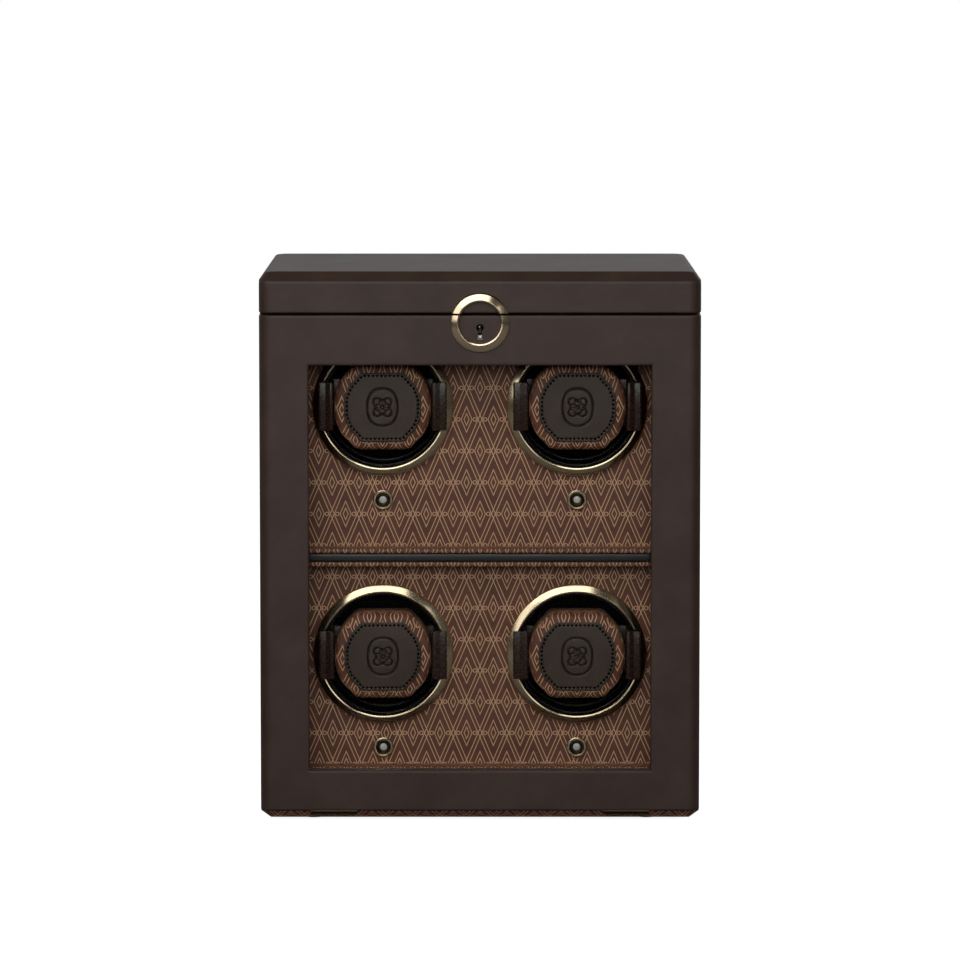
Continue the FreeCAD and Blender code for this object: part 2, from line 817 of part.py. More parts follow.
def push_button(name, x, z):
    """Dished button with a clear lens in the middle and a stem behind."""
    face = panel_front - d.button_ring_rise + 0.7
    dish = face + d.button_dish
    skirt = face + d.button_length
    stem_end = panel_front + d.switch_depth - 2 - 2 * d.button_travel
    body = turned_body(name + "_body", [
        (0, face), (d.button_lens_radius, face), (d.button_lens_radius, dish), (d.button_radius, dish),
        (d.button_radius, skirt), (1.5, skirt), (1.5, stem_end), (0, stem_end),
    ])
    place(body, x=x, z=z)
    return body


subpart(group("bezel_group", [bezel(x, z) for _, x, z in CUPS]), "cup_bezels")
subpart(group("switch_group", [switch_housing(x, z - d.button_drop) for _, x, z in CUPS]), "switch_housings")
subpart(group("bearing_group", [bearing(x, z) for _, x, z in CUPS]), "drum_bearings")
subpart(group("motor_group", [motor(x, z - d.motor_drop) for _, x, z in CUPS]), "gear_motors")
subpart(group("belt_group", [belt(x, z) for _, x, z in CUPS]), "drive_belts")
for cup_name, x, z in CUPS:
    subpart(drum("drum_" + cup_name, x, z), "drum_" + cup_name)
    subpart(motor_pulley("pulley_" + cup_name, x, z), "motor_pulley_" + cup_name)
    subpart(cuff_frame("frame_" + cup_name, x, z), "cuff_frame_" + cup_name)
    subpart(cuff_pad("pad_" + cup_name, x, z), "cuff_pad_" + cup_name)
    subpart(push_button("button_" + cup_name, x, z - d.button_drop), "button_" + cup_name)


# --- electrics ---------------------------------------------------------------------------------

board_low = base_top + d.control_board_lift
half_board = d.control_board_width / 2
board_y = (panel_back + 4, panel_back + 4 + d.control_board_depth)
pieces = [block("circuit_board", (-half_board, half_board), board_y,
                (board_low, board_low + d.control_board_thickness))]
for sign in (-1, 1):
    post_x = sign * (half_board - 6)
    for post_y in (board_y[0] + 6, board_y[1] - 6):
        post = doc.addObject("Part::Cylinder", "board_post")
        bind(post, "Radius", 3)
        bind(post, "Height", d.control_board_lift + d.control_board_thickness / 2)
        place(post, post_x, post_y, base_top)
        pieces.append(post)
for step in range(4):
    start_x = -(half_board - 20) + step * 22
    board_top_face = board_low + d.control_board_thickness
    pieces.append(block("driver_chip", (start_x, start_x + 12), (board_y[0] + 20, board_y[0] + 30),
                        (board_low, board_top_face + 3)))
subpart(join("control_board_joined", pieces), "control_board")

inlet = turned_body("inlet_body", [
    (d.inlet_bore_radius, back - d.inlet_depth + 2), (d.inlet_bore_radius, back + 2), (d.inlet_flange, back + 2),
    (d.inlet_flange, back), (d.inlet_radius, back), (d.inlet_radius, inner_back - 4),
    (0, inner_back - 4), (0, back - d.inlet_depth + 2),
])
place(inlet, z=d.inlet_height)
subpart(inlet, "power_inlet")


# --- lid ---------------------------------------------------------------------------------------


def lid_form(name, half_width, half_depth, low, high, radius, bevel):
    """A block with rounded upright corners and a bevel round its top."""
    body = new_body(name)
    plan = sketch_on(body, name + "_plan", "XY_Plane")
    rectangle(plan, (-half_width, half_width), (-half_depth, half_depth))
    feature(body, "Pad", name + "_pad", plan, high - low)
    dress(body, "Fillet", name + "_corners", radius, runs_along("z"), "Radius")
    dress(body, "Chamfer", name + "_bevel", bevel, lies_at("z", high - low), "Size")
    place(body, z=low)
    return body


core_low = lid_bottom + d.leather
core_high = d.case_height - d.leather
recess_top = core_high - d.lid_top_board
lock_x = (-(d.cam_width / 2) - d.cam_clearance, d.cam_reach + d.cam_clearance)
lock_front = front + d.leather + d.lock_setback
lock_back = lock_front + d.lock_case_depth
cam_front = lock_front + d.cam_setback
cam_y = (cam_front - d.cam_play, cam_front + d.cam_thickness + d.cam_play)
keeper_x = (lock_x[0] - d.keeper_border * 2, lock_x[1] + d.keeper_border * 2)
keeper_y = (cam_y[0] - d.keeper_border, cam_y[1] + d.keeper_border)
cam_top = keyhole_z + d.cam_reach + d.cam_clearance + 1

lid_outer = lid_form("lid_outer", side, back, lid_bottom, d.case_height, d.corner_radius, d.lid_bevel)
lid_core = lid_form("lid_core", core_side, core_back, core_low, core_high, inner_corner,
                    d.lid_bevel - d.leather * (2 - math.sqrt(2)))
recess = block("lid_recess", (-inner_side, inner_side), (-inner_back, inner_back), (lid_bottom - 1, recess_top))
skin_recess = block("lid_skin_recess", (-inner_side, inner_side), (-inner_back, inner_back),
                    (lid_bottom - 1, recess_top))
cam_pocket = block("cam_pocket", lock_x, cam_y, (lid_bottom - 1, cam_top))
keeper_room = block("keeper_room", keeper_x, keeper_y, (lid_bottom - 1, lid_bottom + d.keeper_thickness))
subpart(cut("lid_core_hollowed", lid_core, [recess, cam_pocket]), "lid_board")
subpart(cut("lid_skin", lid_outer, [lid_core, skin_recess, keeper_room]), "lid_leather")

lining_plate = block("lid_lining_block", (-inner_side, inner_side), (-inner_back, inner_back),
                     (recess_top - d.lid_lining_height, recess_top))
subpart(lining_plate, "lid_lining")

keeper_plate = block("keeper_plate", keeper_x, keeper_y, (lid_bottom, lid_bottom + d.keeper_thickness))
keeper_slot = block("keeper_slot", lock_x, cam_y, (lid_bottom - 1, cam_top))
subpart(cut("keeper_with_slot", keeper_plate, [keeper_slot]), "lock_keeper")


# --- door --------------------------------------------------------------------------------------


def door_form(name, x, z, window_x, window_z, y_front, y_back, radius):
    """A flat frame with a window, its outer front corners rounded in plan."""
    body = new_body(name)
    face = sketch_on(body, name + "_face", "XZ_Plane")
    rectangle(face, x, z)
    rectangle(face, window_x, window_z)
    feature(body, "Pad", name + "_pad", face, y_back - y_front)
    thickness = (y_back - y_front).value
    half_window = window_x[1].value
    corner = runs_along("z", lambda spot: spot.y < -thickness / 2 and abs(spot.x) > half_window + 1)
    dress(body, "Fillet", name + "_corners", radius, corner, "Radius")
    place(body, y=y_back)
    return body


door_outer = door_form("door_outer", (-side, side), (door_bottom, rim), (-window_side, window_side),
                       (window_low, window_high), front, door_back, d.corner_radius)
thickness = d.door_thickness.value
rail_edges = runs_along("x", lambda spot: spot.y < 0.001 - thickness)
dress(door_outer, "Fillet", "door_rail_edges", d.edge_round, rail_edges, "Radius")

core_front = front + d.leather
core_rear = door_back - d.leather
door_core = door_form("door_core", (-core_side, core_side), (door_bottom + d.leather, rim - d.leather),
                      (-(window_side + d.leather), window_side + d.leather),
                      (window_low - d.leather, window_high + d.leather), core_front, core_rear, inner_corner)

rebate_x = (-(window_side + d.glass_rebate), window_side + d.glass_rebate)
rebate_z = (window_low - d.glass_rebate, window_high + d.glass_rebate)
case_x = (-(d.lock_case_width / 2) + 2, d.lock_case_width / 2 + 2)
case_y = (lock_front, lock_back)
case_z = (keyhole_z - d.cam_reach * 0.75, rim - d.leather - 1)
plug_axis = (0, keyhole_z)


def keyhole(name):
    """Round hole with a slot that widens downwards, right through the front of the door."""
    body = new_body(name)
    face = sketch_on(body, name + "_slot", "XZ_Plane")
    low = keyhole_z - d.keyhole_slot
    outline(face, [(-1, keyhole_z), (-1.9, low), (1.9, low), (1, keyhole_z)])
    feature(body, "Pad", name + "_slot_pad", face, 6)
    face = sketch_on(body, name + "_round", "XZ_Plane")
    circle(face, 0, keyhole_z, d.keyhole_radius)
    feature(body, "Pad", name + "_round_pad", face, 6)
    place(body, y=case_y[0])
    return body


def cam_slot(name):
    """Room through the door's top edge for the cam as it turns up."""
    return block(name, lock_x, cam_y, (case_z[1] - 1, lid_bottom))


def hinge_room(name, sign):
    """Room in the door's lower edge for a hinge's knuckles."""
    x = sign * d.door_hinge_spread
    half = d.door_leaf_width / 2 + d.hinge_clearance
    reach = d.door_knuckle_radius + d.hinge_clearance
    return block(name, (x - half, x + half), (door_axis_y - reach, door_axis_y + reach),
                 (door_bottom - 1, plinth_top + reach))


def leaf_room(name, sign):
    """Mortise in the door's lower rail for a hinge leaf."""
    x = sign * d.door_hinge_spread
    half = d.door_leaf_width / 2
    leaf = d.door_leaf_thickness / 2
    return block(name, (x - half, x + half), (door_axis_y - leaf, door_axis_y + leaf),
                 (door_bottom - 1, plinth_top + d.door_leaf_height))


glass_rebate = block("glass_rebate", rebate_x, (glass_front, door_back + 1), rebate_z)
case_mortise = block("case_mortise", case_x, case_y, case_z)
core_tools = [glass_rebate, case_mortise, keyhole("core_keyhole"), cam_slot("core_cam_slot")]
core_tools += [make("core_" + make.__name__, sign) for make in (hinge_room, leaf_room) for sign in (-1, 1)]
subpart(cut("door_core_cut", door_core, core_tools), "door_frame")

skin_rebate = block("skin_rebate", rebate_x, (glass_front, door_back + 1), rebate_z)
skin_tools = [door_core, skin_rebate, keyhole("skin_keyhole"), cam_slot("skin_cam_slot")]
skin_tools += [make("skin_" + make.__name__, sign) for make in (hinge_room, leaf_room) for sign in (-1, 1)]
subpart(cut("door_skin", door_outer, skin_tools), "door_leather")

subpart(block("glass", rebate_x, (glass_front, glass_back), rebate_z), "door_glass")

bead = new_body("bead_body")
face = sketch_on(bead, "bead_face", "XZ_Plane")
rectangle(face, rebate_x, rebate_z)
rectangle(face, (rebate_x[0] + d.bead_width, rebate_x[1] - d.bead_width),
          (rebate_z[0] + d.bead_width, rebate_z[1] - d.bead_width))
feature(bead, "Pad", "bead_pad", face, door_back - glass_back)
place(bead, y=door_back)
subpart(bead, "glass_bead")


# --- lock --------------------------------------------------------------------------------------


def ring(name):
    """The whole champagne ring before it is parted at the seam: flat lip and bevel to the outside."""
    body = turned_body(name, [
        (d.ring_inner_radius, front), (d.ring_inner_radius, front - d.ring_rise + 0.8),
        (d.ring_inner_radius + 0.8, front - d.ring_rise), (ring_outer - 2.6, front - d.ring_rise),
        (ring_outer, front - 0.9), (ring_outer, front),
    ])
    place(body, z=ring_z)
    return body


reach = ring_outer + 1
everywhere = (-reach, reach)
below_seam = block("below_seam", everywhere, (front - 9, front + 1), (ring_z - reach, lid_bottom))
above_seam = block("above_seam", everywhere, (front - 9, front + 1), (rim, ring_z + reach))
subpart(cut("lid_ring_cut", ring("ring_for_lid"), [below_seam]), "lid_lock_ring")
subpart(cut("door_ring_cut", ring("ring_for_door"), [above_seam]), "door_lock_ring")

plug_bore = d.lock_plug_radius + d.lock_clearance
cavity = block("lock_cavity", lock_x, cam_y, (keyhole_z - d.cam_width / 2 - d.cam_clearance, rim))
bore = rod("lock_bore", "y", plug_bore, case_y[0] - 1, d.lock_case_depth + 2, plug_axis)
lock_block = block("lock_block", case_x, case_y, case_z)
subpart(cut("lock_block_cut", lock_block, [cavity, bore]), "lock_case")

plug_front = case_y[0] + d.lock_clearance
plug = rod("plug_barrel", "y", d.lock_plug_radius, plug_front, d.lock_case_depth - 2 * d.lock_clearance, plug_axis)
half_cam = d.cam_width / 2
arm = block("cam_arm", (0, d.cam_reach), (cam_front, cam_front + d.cam_thickness),
            (keyhole_z - half_cam, keyhole_z + half_cam))
key_slit = block("key_slit", (-0.7, 0.7), (plug_front - 1, plug_front + 5),
                 (keyhole_z - d.lock_plug_radius + 1, keyhole_z + 2))
subpart(cut("plug_with_slit", join("plug_and_cam", [plug, arm]), [key_slit]), "lock_plug")


# --- hinges ------------------------------------------------------------------------------------


def knuckles(name, spans, radius, y, z):
    """Round barrels along X between pairs of sizes."""
    return [rod(name, "x", radius, low, high - low, (y, z)) for low, high in spans]


def knuckle_spans(x, width):
    """Where the two outer barrels and the middle barrel of a hinge lie, with a gap between them."""
    half = width / 2
    third = width / 6
    outer = [(x - half, x - third - d.knuckle_gap), (x + third + d.knuckle_gap, x + half)]
    return outer, [(x - third, x + third)]


def bored(name, pieces, x, width, bore_radius, y, z):
    """One hinge leaf: its pieces joined and bored for the pin."""
    hole = rod(name + "_bore", "x", bore_radius, x - width, 2 * width, (y, z))
    return cut(name, join(name + "_joined", pieces), [hole])


def pin(name, x, width, radius, y, z):
    return rod(name, "x", radius, x - width / 2, width, (y, z))


cabinet_leaves = []
lid_leaves = []
lid_pins = []
sill_leaves = []
door_leaves = []
door_pins = []
for sign in (-1, 1):
    # Lid: leaves lie on the back face, knuckles stand behind it.
    x = sign * d.lid_hinge_spread
    width = d.lid_leaf_width
    outer, middle = knuckle_spans(x, width)
    leaf_y = (back, back + d.lid_leaf_thickness)
    axis = (lid_axis_y, lid_axis_z)
    radius = d.lid_knuckle_radius
    low_edge = lid_axis_z - radius - d.lid_leaf_height
    plates = [block("cabinet_plate", (x - width / 2, x + width / 2), leaf_y, (low_edge, lid_axis_z - radius - 0.5))]
    plates += [block("cabinet_tab", span, leaf_y, (lid_axis_z - radius - 1, lid_axis_z)) for span in outer]
    plates += knuckles("cabinet_knuckle", outer, radius, *axis)
    cabinet_leaves.append(bored("cabinet_leaf", plates, x, width, d.lid_pin_radius, *axis))
    high_edge = d.case_height - d.lid_bevel - 1
    plates = [block("lid_plate", (x - width / 2, x + width / 2), leaf_y, (lid_axis_z + radius + 0.5, high_edge))]
    plates += [block("lid_tab", span, leaf_y, (lid_axis_z, lid_axis_z + radius + 1)) for span in middle]
    plates += knuckles("lid_knuckle", middle, radius, *axis)
    lid_leaves.append(bored("lid_leaf", plates, x, width, d.lid_pin_radius + d.pin_clearance, *axis))
    lid_pins.append(pin("lid_pin", x, width, d.lid_pin_radius, *axis))

    # Door: knuckles hide behind the leather at the lower edge, one leaf on the plinth and one up in the door.
    x = sign * d.door_hinge_spread
    width = d.door_leaf_width
    outer, middle = knuckle_spans(x, width)
    axis = (door_axis_y, plinth_top)
    radius = d.door_knuckle_radius
    sill_z = (plinth_top - d.door_leaf_thickness, plinth_top)
    sill_y = (door_axis_y + radius + d.hinge_clearance, door_axis_y + radius + d.door_leaf_height)
    plates = [block("sill_plate", (x - width / 2, x + width / 2), sill_y, sill_z)]
    plates += [block("sill_tab", span, (door_axis_y, sill_y[0] + 1), sill_z) for span in outer]
    plates += knuckles("sill_knuckle", outer, radius, *axis)
    sill_leaves.append(bored("sill_leaf", plates, x, width, d.door_pin_radius, *axis))
    leaf = d.door_leaf_thickness / 2
    door_y = (door_axis_y - leaf, door_axis_y + leaf)
    plate_z = (plinth_top + radius + d.hinge_clearance, plinth_top + d.door_leaf_height)
    plates = [block("door_plate", (x - width / 2, x + width / 2), door_y, plate_z)]
    plates += [block("door_tab", span, door_y, (plinth_top, plate_z[0] + 1)) for span in middle]
    plates += knuckles("door_knuckle", middle, radius, *axis)
    door_leaves.append(bored("door_leaf", plates, x, width, d.door_pin_radius + d.pin_clearance, *axis))
    door_pins.append(pin("door_pin", x, width, d.door_pin_radius, *axis))

for group_name, pieces in (
    ("cabinet_hinge_leaves", cabinet_leaves),
    ("lid_hinge_leaves", lid_leaves),
    ("lid_hinge_pins", lid_pins),
    ("sill_hinge_leaves", sill_leaves),
    ("door_hinge_leaves", door_leaves),
    ("door_hinge_pins", door_pins),
):
    subpart(group(group_name + "_group", pieces), group_name)


# --- check and write ---------------------------------------------------------------------------

doc.recompute()
for thing in doc.Objects:
    if "Invalid" in thing.State or "Error" in thing.State:
        raise RuntimeError("%s did not build: %s" % (thing.Label, thing.State))
os.makedirs("parts", exist_ok=True)
names = [thing.Label for thing in subparts]
if len(set(names)) != len(names):
    raise RuntimeError("two sub-parts share a name")
for thing in subparts:
    shape = thing.Shape
    if shape.isNull() or not shape.isValid() or not shape.Solids:
        raise RuntimeError("%s has no valid solid" % thing.Label)
for thing in subparts:
    thing.Shape.exportStep("parts/%s.step" % thing.Label)
    print("%-24s %2d solids %10.1f mm3" % (thing.Label, len(thing.Shape.Solids), thing.Shape.Volume))
print(len(subparts), "sub-parts")
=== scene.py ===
# %% [markdown]
# # A leather watch winder box
# The box is a board carcass covered in dark leather. Its glazed door drops down, its lid swings
# back, and behind the glass four padded cuffs turn in motor-driven cups. A CAD model gives every
# size and every moving body. This script adds what CAD leaves plain: soft edges, padding, stitches
# and finishes. It begins with the frame, because each piece is placed by it.

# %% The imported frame
import json
import math

import bmesh
import bpy
from mathutils import Matrix, Vector


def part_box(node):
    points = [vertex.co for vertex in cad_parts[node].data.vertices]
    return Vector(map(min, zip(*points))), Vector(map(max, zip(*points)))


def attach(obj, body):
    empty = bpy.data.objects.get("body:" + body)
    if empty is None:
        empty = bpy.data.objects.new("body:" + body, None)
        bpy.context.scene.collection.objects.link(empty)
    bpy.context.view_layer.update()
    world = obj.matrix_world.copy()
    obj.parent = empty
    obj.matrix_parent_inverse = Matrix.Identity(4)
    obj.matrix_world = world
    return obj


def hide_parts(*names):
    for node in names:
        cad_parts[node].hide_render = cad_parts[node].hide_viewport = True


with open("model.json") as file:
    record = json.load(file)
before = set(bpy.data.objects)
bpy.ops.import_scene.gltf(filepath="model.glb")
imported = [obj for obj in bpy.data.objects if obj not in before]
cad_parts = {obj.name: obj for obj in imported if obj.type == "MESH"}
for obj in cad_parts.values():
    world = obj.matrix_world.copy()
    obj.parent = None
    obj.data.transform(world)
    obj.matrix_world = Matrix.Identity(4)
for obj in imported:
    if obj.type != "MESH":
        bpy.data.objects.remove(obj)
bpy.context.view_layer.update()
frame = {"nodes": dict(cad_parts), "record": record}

MM = 0.001
CUPS = ("upper_left", "upper_right", "lower_left", "lower_right")

# %% [markdown]
# ## Working in millimetres
# Leatherworkers and clockmakers think in millimetres, and Blender works in metres. All shapes below
# are worked out in millimetres and scaled once, when a mesh is made. `extent` reads a CAD node's
# box, so that a piece follows the CAD model if its sizes change.


# %% Reading sizes from the frame
def extent(node):
    """Lowest and highest corner of a CAD node, in millimetres."""
    low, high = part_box(node)
    return low / MM, high / MM


def cup_centre(cup):
    """Where a cup's axis meets the front, as x and z."""
    low, high = extent("drum_" + cup)
    return (low.x + high.x) / 2, (low.z + high.z) / 2


door_low, door_high = extent("door_leather")
glass_low, glass_high = extent("door_glass")
lid_low, lid_high = extent("lid_leather")
HALF_WIDTH = door_high.x
FRONT = door_low.y
CORNER_RADIUS = 7.5
print("door front at", round(FRONT, 2), "mm, half width", round(HALF_WIDTH, 2), "mm")

# %% [markdown]
# ## Rounded paths, lofts and turned shapes
# Few edges on this object are sharp: leather bends round a board with a radius near its own
# thickness. A bevel modifier could round a plain box, but it gives every edge the same radius. A
# loft is used instead: a path with its own arc at each corner, repeated as rings. `guard` puts a
# point just past each arc, which keeps the flat beside it flat when the surface is smooth shaded.


# %% Paths
def rounded(corners, radius, steps=4, closed=True, guard=0.0):
    """A path whose corners are arcs. Radius is one number, or one for each corner."""
    corners = [Vector(c) for c in corners]
    radii = radius if isinstance(radius, (list, tuple)) else [radius] * len(corners)
    path = []
    for i, here in enumerate(corners):
        if not closed and i in (0, len(corners) - 1):
            path.append(here)
            continue
        before = (corners[i - 1] - here).normalized()
        after = (corners[(i + 1) % len(corners)] - here).normalized()
        half = before.angle(after) / 2
        reach = radii[i] / math.tan(half)
        centre = here + (before + after).normalized() * radii[i] / math.sin(half)
        start = (here + before * reach - centre).normalized()
        end = (here + after * reach - centre).normalized()
        if guard:
            path.append(here + before * (reach + guard))
        path += [centre + start.slerp(end, s / steps) * radii[i] for s in range(steps + 1)]
        if guard:
            path.append(here + after * (reach + guard))
    return path


def evenly(outline, count):
    """Equally spaced points round a closed outline."""
    loop = [Vector(p) for p in outline] + [Vector(outline[0])]
    walked = [0.0]
    for a, b in zip(loop, loop[1:]):
        walked.append(walked[-1] + (b - a).length)
    spots, k = [], 0
    for i in range(count):
        target = walked[-1] * i / count
        while walked[k + 1] < target:
            k += 1
        share = (target - walked[k]) / (walked[k + 1] - walked[k])
        spots.append(loop[k].lerp(loop[k + 1], share))
    return spots


def rectangle(x, low, high):
    """Four corners, from -x to x and from low to high."""
    return [(-x, low), (x, low), (x, high), (-x, high)]


# %% Solids
def loft(rings, joined=False, solid=None):
    """A skin over rings of equally many points, capped unless the last ring joins the first."""
    solid = solid or bmesh.new()
    rows = [[solid.verts.new(Vector(p)) for p in ring] for ring in rings]
    pairs = list(zip(rows, rows[1:]))
    if joined:
        pairs.append((rows[-1], rows[0]))
    for here, there in pairs:
        for k, corner in enumerate(here):
            solid.faces.new((here[k - 1], corner, there[k], there[k - 1]))
    if not joined:
        solid.faces.new(rows[0])
        solid.faces.new(rows[-1])
    return solid


def turned(profile, x, z, steps=96, joined=False, solid=None):
    """A profile of (radius, y) points turned about an axis that runs from front to back."""
    turns = [2 * math.pi * k / steps for k in range(steps)]
    circle = [(math.cos(a), math.sin(a)) for a in turns]
    return loft([[(x + r * c, y, z + r * s) for c, s in circle] for r, y in profile], joined, solid)


def add_box(solid, low, high):
    """Adds a plain box, given by two corners, to a solid. Returns its points."""
    low, high = Vector(low), Vector(high)
    place = Matrix.Translation((low + high) / 2) @ Matrix.Diagonal((*(high - low), 1))
    return bmesh.ops.create_cube(solid, size=1, matrix=place)["verts"]


def rounded_boxes(boxes, radius, segments=3):
    """Boxes given by their low and high corners, with all edges rounded, in one mesh."""
    solid = bmesh.new()
    for low, high in boxes:
        edges = {e for v in add_box(solid, low, high) for e in v.link_edges}
        bmesh.ops.bevel(solid, geom=list(edges), offset=radius, segments=segments, affect="EDGES",
                        profile=0.5)
    return solid


def make_piece(name, solid, material, body, replaces=(), angle=35, at=(0, 0, 0)):
    """Turns a solid in millimetres into a smooth-shaded piece that rides on a body."""
    bmesh.ops.remove_doubles(solid, verts=solid.verts, dist=1e-4)
    bmesh.ops.recalc_face_normals(solid, faces=solid.faces)
    bmesh.ops.scale(solid, vec=(MM, MM, MM), verts=solid.verts)
    mesh = bpy.data.meshes.new(name)
    solid.to_mesh(mesh)
    solid.free()
    return place_mesh(name, mesh, material, body, replaces, angle, at)


def place_mesh(name, mesh, material, body, replaces, angle, at):
    """Puts a mesh in the scene as a piece; several pieces may share one mesh."""
    mesh.shade_smooth()
    mesh.set_sharp_from_angle(angle=math.radians(angle))
    if not mesh.materials:
        mesh.materials.append(material)
    piece = bpy.data.objects.new(name, mesh)
    bpy.context.scene.collection.objects.link(piece)
    piece.location = Vector(at) * MM
    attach(piece, body)
    if replaces:
        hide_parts(*replaces)
    return piece


def cut_away(piece, solid):
    """Cuts a solid out of a piece."""
    cutter = make_piece("cutter", solid, piece.data.materials[0], "cabinet")
    cut = piece.modifiers.new("cut", "BOOLEAN")
    cut.object = cutter
    cut.operation = "DIFFERENCE"
    applied(piece)
    bpy.data.objects.remove(cutter)
    piece.data.shade_smooth()
    piece.data.set_sharp_from_angle(angle=math.radians(35))


def applied(piece):
    """Replaces a piece's mesh by what its modifiers make of it."""
    graph = bpy.context.evaluated_depsgraph_get()
    mesh = bpy.data.meshes.new_from_object(piece.evaluated_get(graph), depsgraph=graph)
    piece.modifiers.clear()
    piece.data = mesh


# %% [markdown]
# ## Colours and shader nodes
# Colours are written as sRGB hex values, the way a designer notes them. Shaders work in linear
# light, so one function converts them. One more function adds a node with its settings and links,
# and hands back one of its outputs, or the node itself where no output is named.


# %% Colour and node helpers
def linear(code):
    """The linear colour of an sRGB hex value."""
    channels = [int(code[i:i + 2], 16) / 255 for i in (1, 3, 5)]
    return [*(c / 12.92 if c <= 0.04045 else ((c + 0.055) / 1.055) ** 2.4 for c in channels), 1.0]


def add_node(tree, kind, inputs=None, out=0, **settings):
    """Adds a node. Each input is set to a value, or linked where that is another node's output."""
    node = tree.nodes.new("ShaderNode" + kind)
    for key, value in settings.items():
        setattr(node, key, value)
    for key, value in (inputs or {}).items():
        if isinstance(value, bpy.types.NodeSocket):
            tree.links.new(value, node.inputs[key])
        else:
            node.inputs[key].default_value = value
    return node if out is None else node.outputs[out]


def empty_material(name):
    """A material without nodes, and its tree."""
    material = bpy.data.materials.new(name)
    material.use_nodes = True
    material.node_tree.nodes.clear()
    return material, material.node_tree


def new_material(name, **shader):
    """A material with one Principled shader, whose named values are set on its own sockets."""
    material, tree = empty_material(name)
    values = {key.replace("_", " ").title().replace("Ior", "IOR"): value
              for key, value in shader.items()}
    surface = add_node(tree, "BsdfPrincipled", values, None)
    add_node(tree, "OutputMaterial", {"Surface": surface.outputs[0]}, None)
    return material, tree, surface


def feed(tree, shader, **outputs):
    """Links nodes' outputs to a shader's sockets."""
    for key, output in outputs.items():
        tree.links.new(output, shader.inputs[key.replace("_", " ")])


# %% [markdown]
# ## Covering leather
# Smooth calf leather, dyed dark brown and given a thin satin finish. Pigment hides most of the
# grain, so it shows as a faint pebble about 0.9 mm across, softer than on a bag. A photographed
# leather would repeat, and noise alone looks like clay. Cells from a Voronoi texture give pebbles
# with creases between them, and slow noise gives the uneven sheen of a hide drawn over board.


# %% Leather
def covering_leather(name, dark, light, pebble_mm=0.9, roughness=0.46):
    """Dyed calf leather: slightly uneven colour, pebbled bump, satin finish."""
    material, tree, shader = new_material(name, roughness=roughness, specular_ior_level=0.35)
    spot = add_node(tree, "TexCoord", out=3)
    mottle = add_node(tree, "TexNoise",
                      {"Vector": spot, "Scale": 34.0, "Detail": 6.0, "Roughness": 0.6})
    depth = add_node(tree, "MapRange", {"Value": mottle, "From Min": 0.3, "From Max": 0.7})
    dye = add_node(tree, "Mix", {0: depth, 6: linear(dark), 7: linear(light)}, 2,
                   data_type="RGBA")
    wander = add_node(tree, "TexNoise",
                      {"Vector": spot, "Scale": 400.0, "Detail": 2.0}, out=1)
    bent = add_node(tree, "Mix", {0: 0.0006, 4: spot, 5: wander}, out=1,
                    data_type="VECTOR", clamp_factor=False)
    cells = add_node(tree, "TexVoronoi", {"Vector": bent, "Scale": 1 / (pebble_mm * MM)},
                     feature="DISTANCE_TO_EDGE")
    pebble = add_node(tree, "MapRange", {"Value": cells, "From Max": 0.16},
                      interpolation_type="SMOOTHSTEP")
    slow = add_node(tree, "TexNoise", {"Vector": spot, "Scale": 90.0, "Detail": 3.0})
    fine = add_node(tree, "Bump",
                    {"Strength": 0.22, "Distance": 0.06 * MM, "Height": pebble})
    waves = add_node(tree, "Bump",
                     {"Strength": 0.25, "Distance": 0.5 * MM, "Height": slow, "Normal": fine})
    sheen = add_node(tree, "MapRange", {"Value": mottle, "To Min": roughness - 0.05,
                                                  "To Max": roughness + 0.07})
    feed(tree, shader, Base_Color=dye, Normal=waves, Roughness=sheen)
    return material


brown_leather = covering_leather("dyed_calf_leather", "#36261f", "#413029")
patch_leather = covering_leather("smooth_patch_leather", "#372a22", "#43342b", 0.6, 0.38)
# Near-black leather for the patch's stamped lines: painted shade in the grooves.
groove_shade_leather = covering_leather("patch_leather_groove_shade", "#130f0d", "#1a1512", 0.6, 0.5)
print("leathers:", brown_leather.name, patch_leather.name)

# %% [markdown]
# ## Patterned lining canvas
# A coated cotton canvas printed with a trellis of fine double lines in tan on brown. Here the print
# is a plain trellis with small rings and lozenges. An image would carry someone's print, so it is
# drawn with arithmetic: two families of slanting lines cross, and the distance to the nearest line
# of each family says where ink lies. The cloth is laid flat on every face by its object
# coordinates: across and up on walls, across and forwards on floors.

# %% Canvas
REPEAT_ACROSS = 17.6
REPEAT_UP = 41.4
LINE_SPACING = 1 / math.hypot(1 / REPEAT_ACROSS, 1 / REPEAT_UP)
THREAD_MM = 0.45
DOUBLE_LINE = 1.15
RING_OUT = 3.4
INK_HALF = 0.27


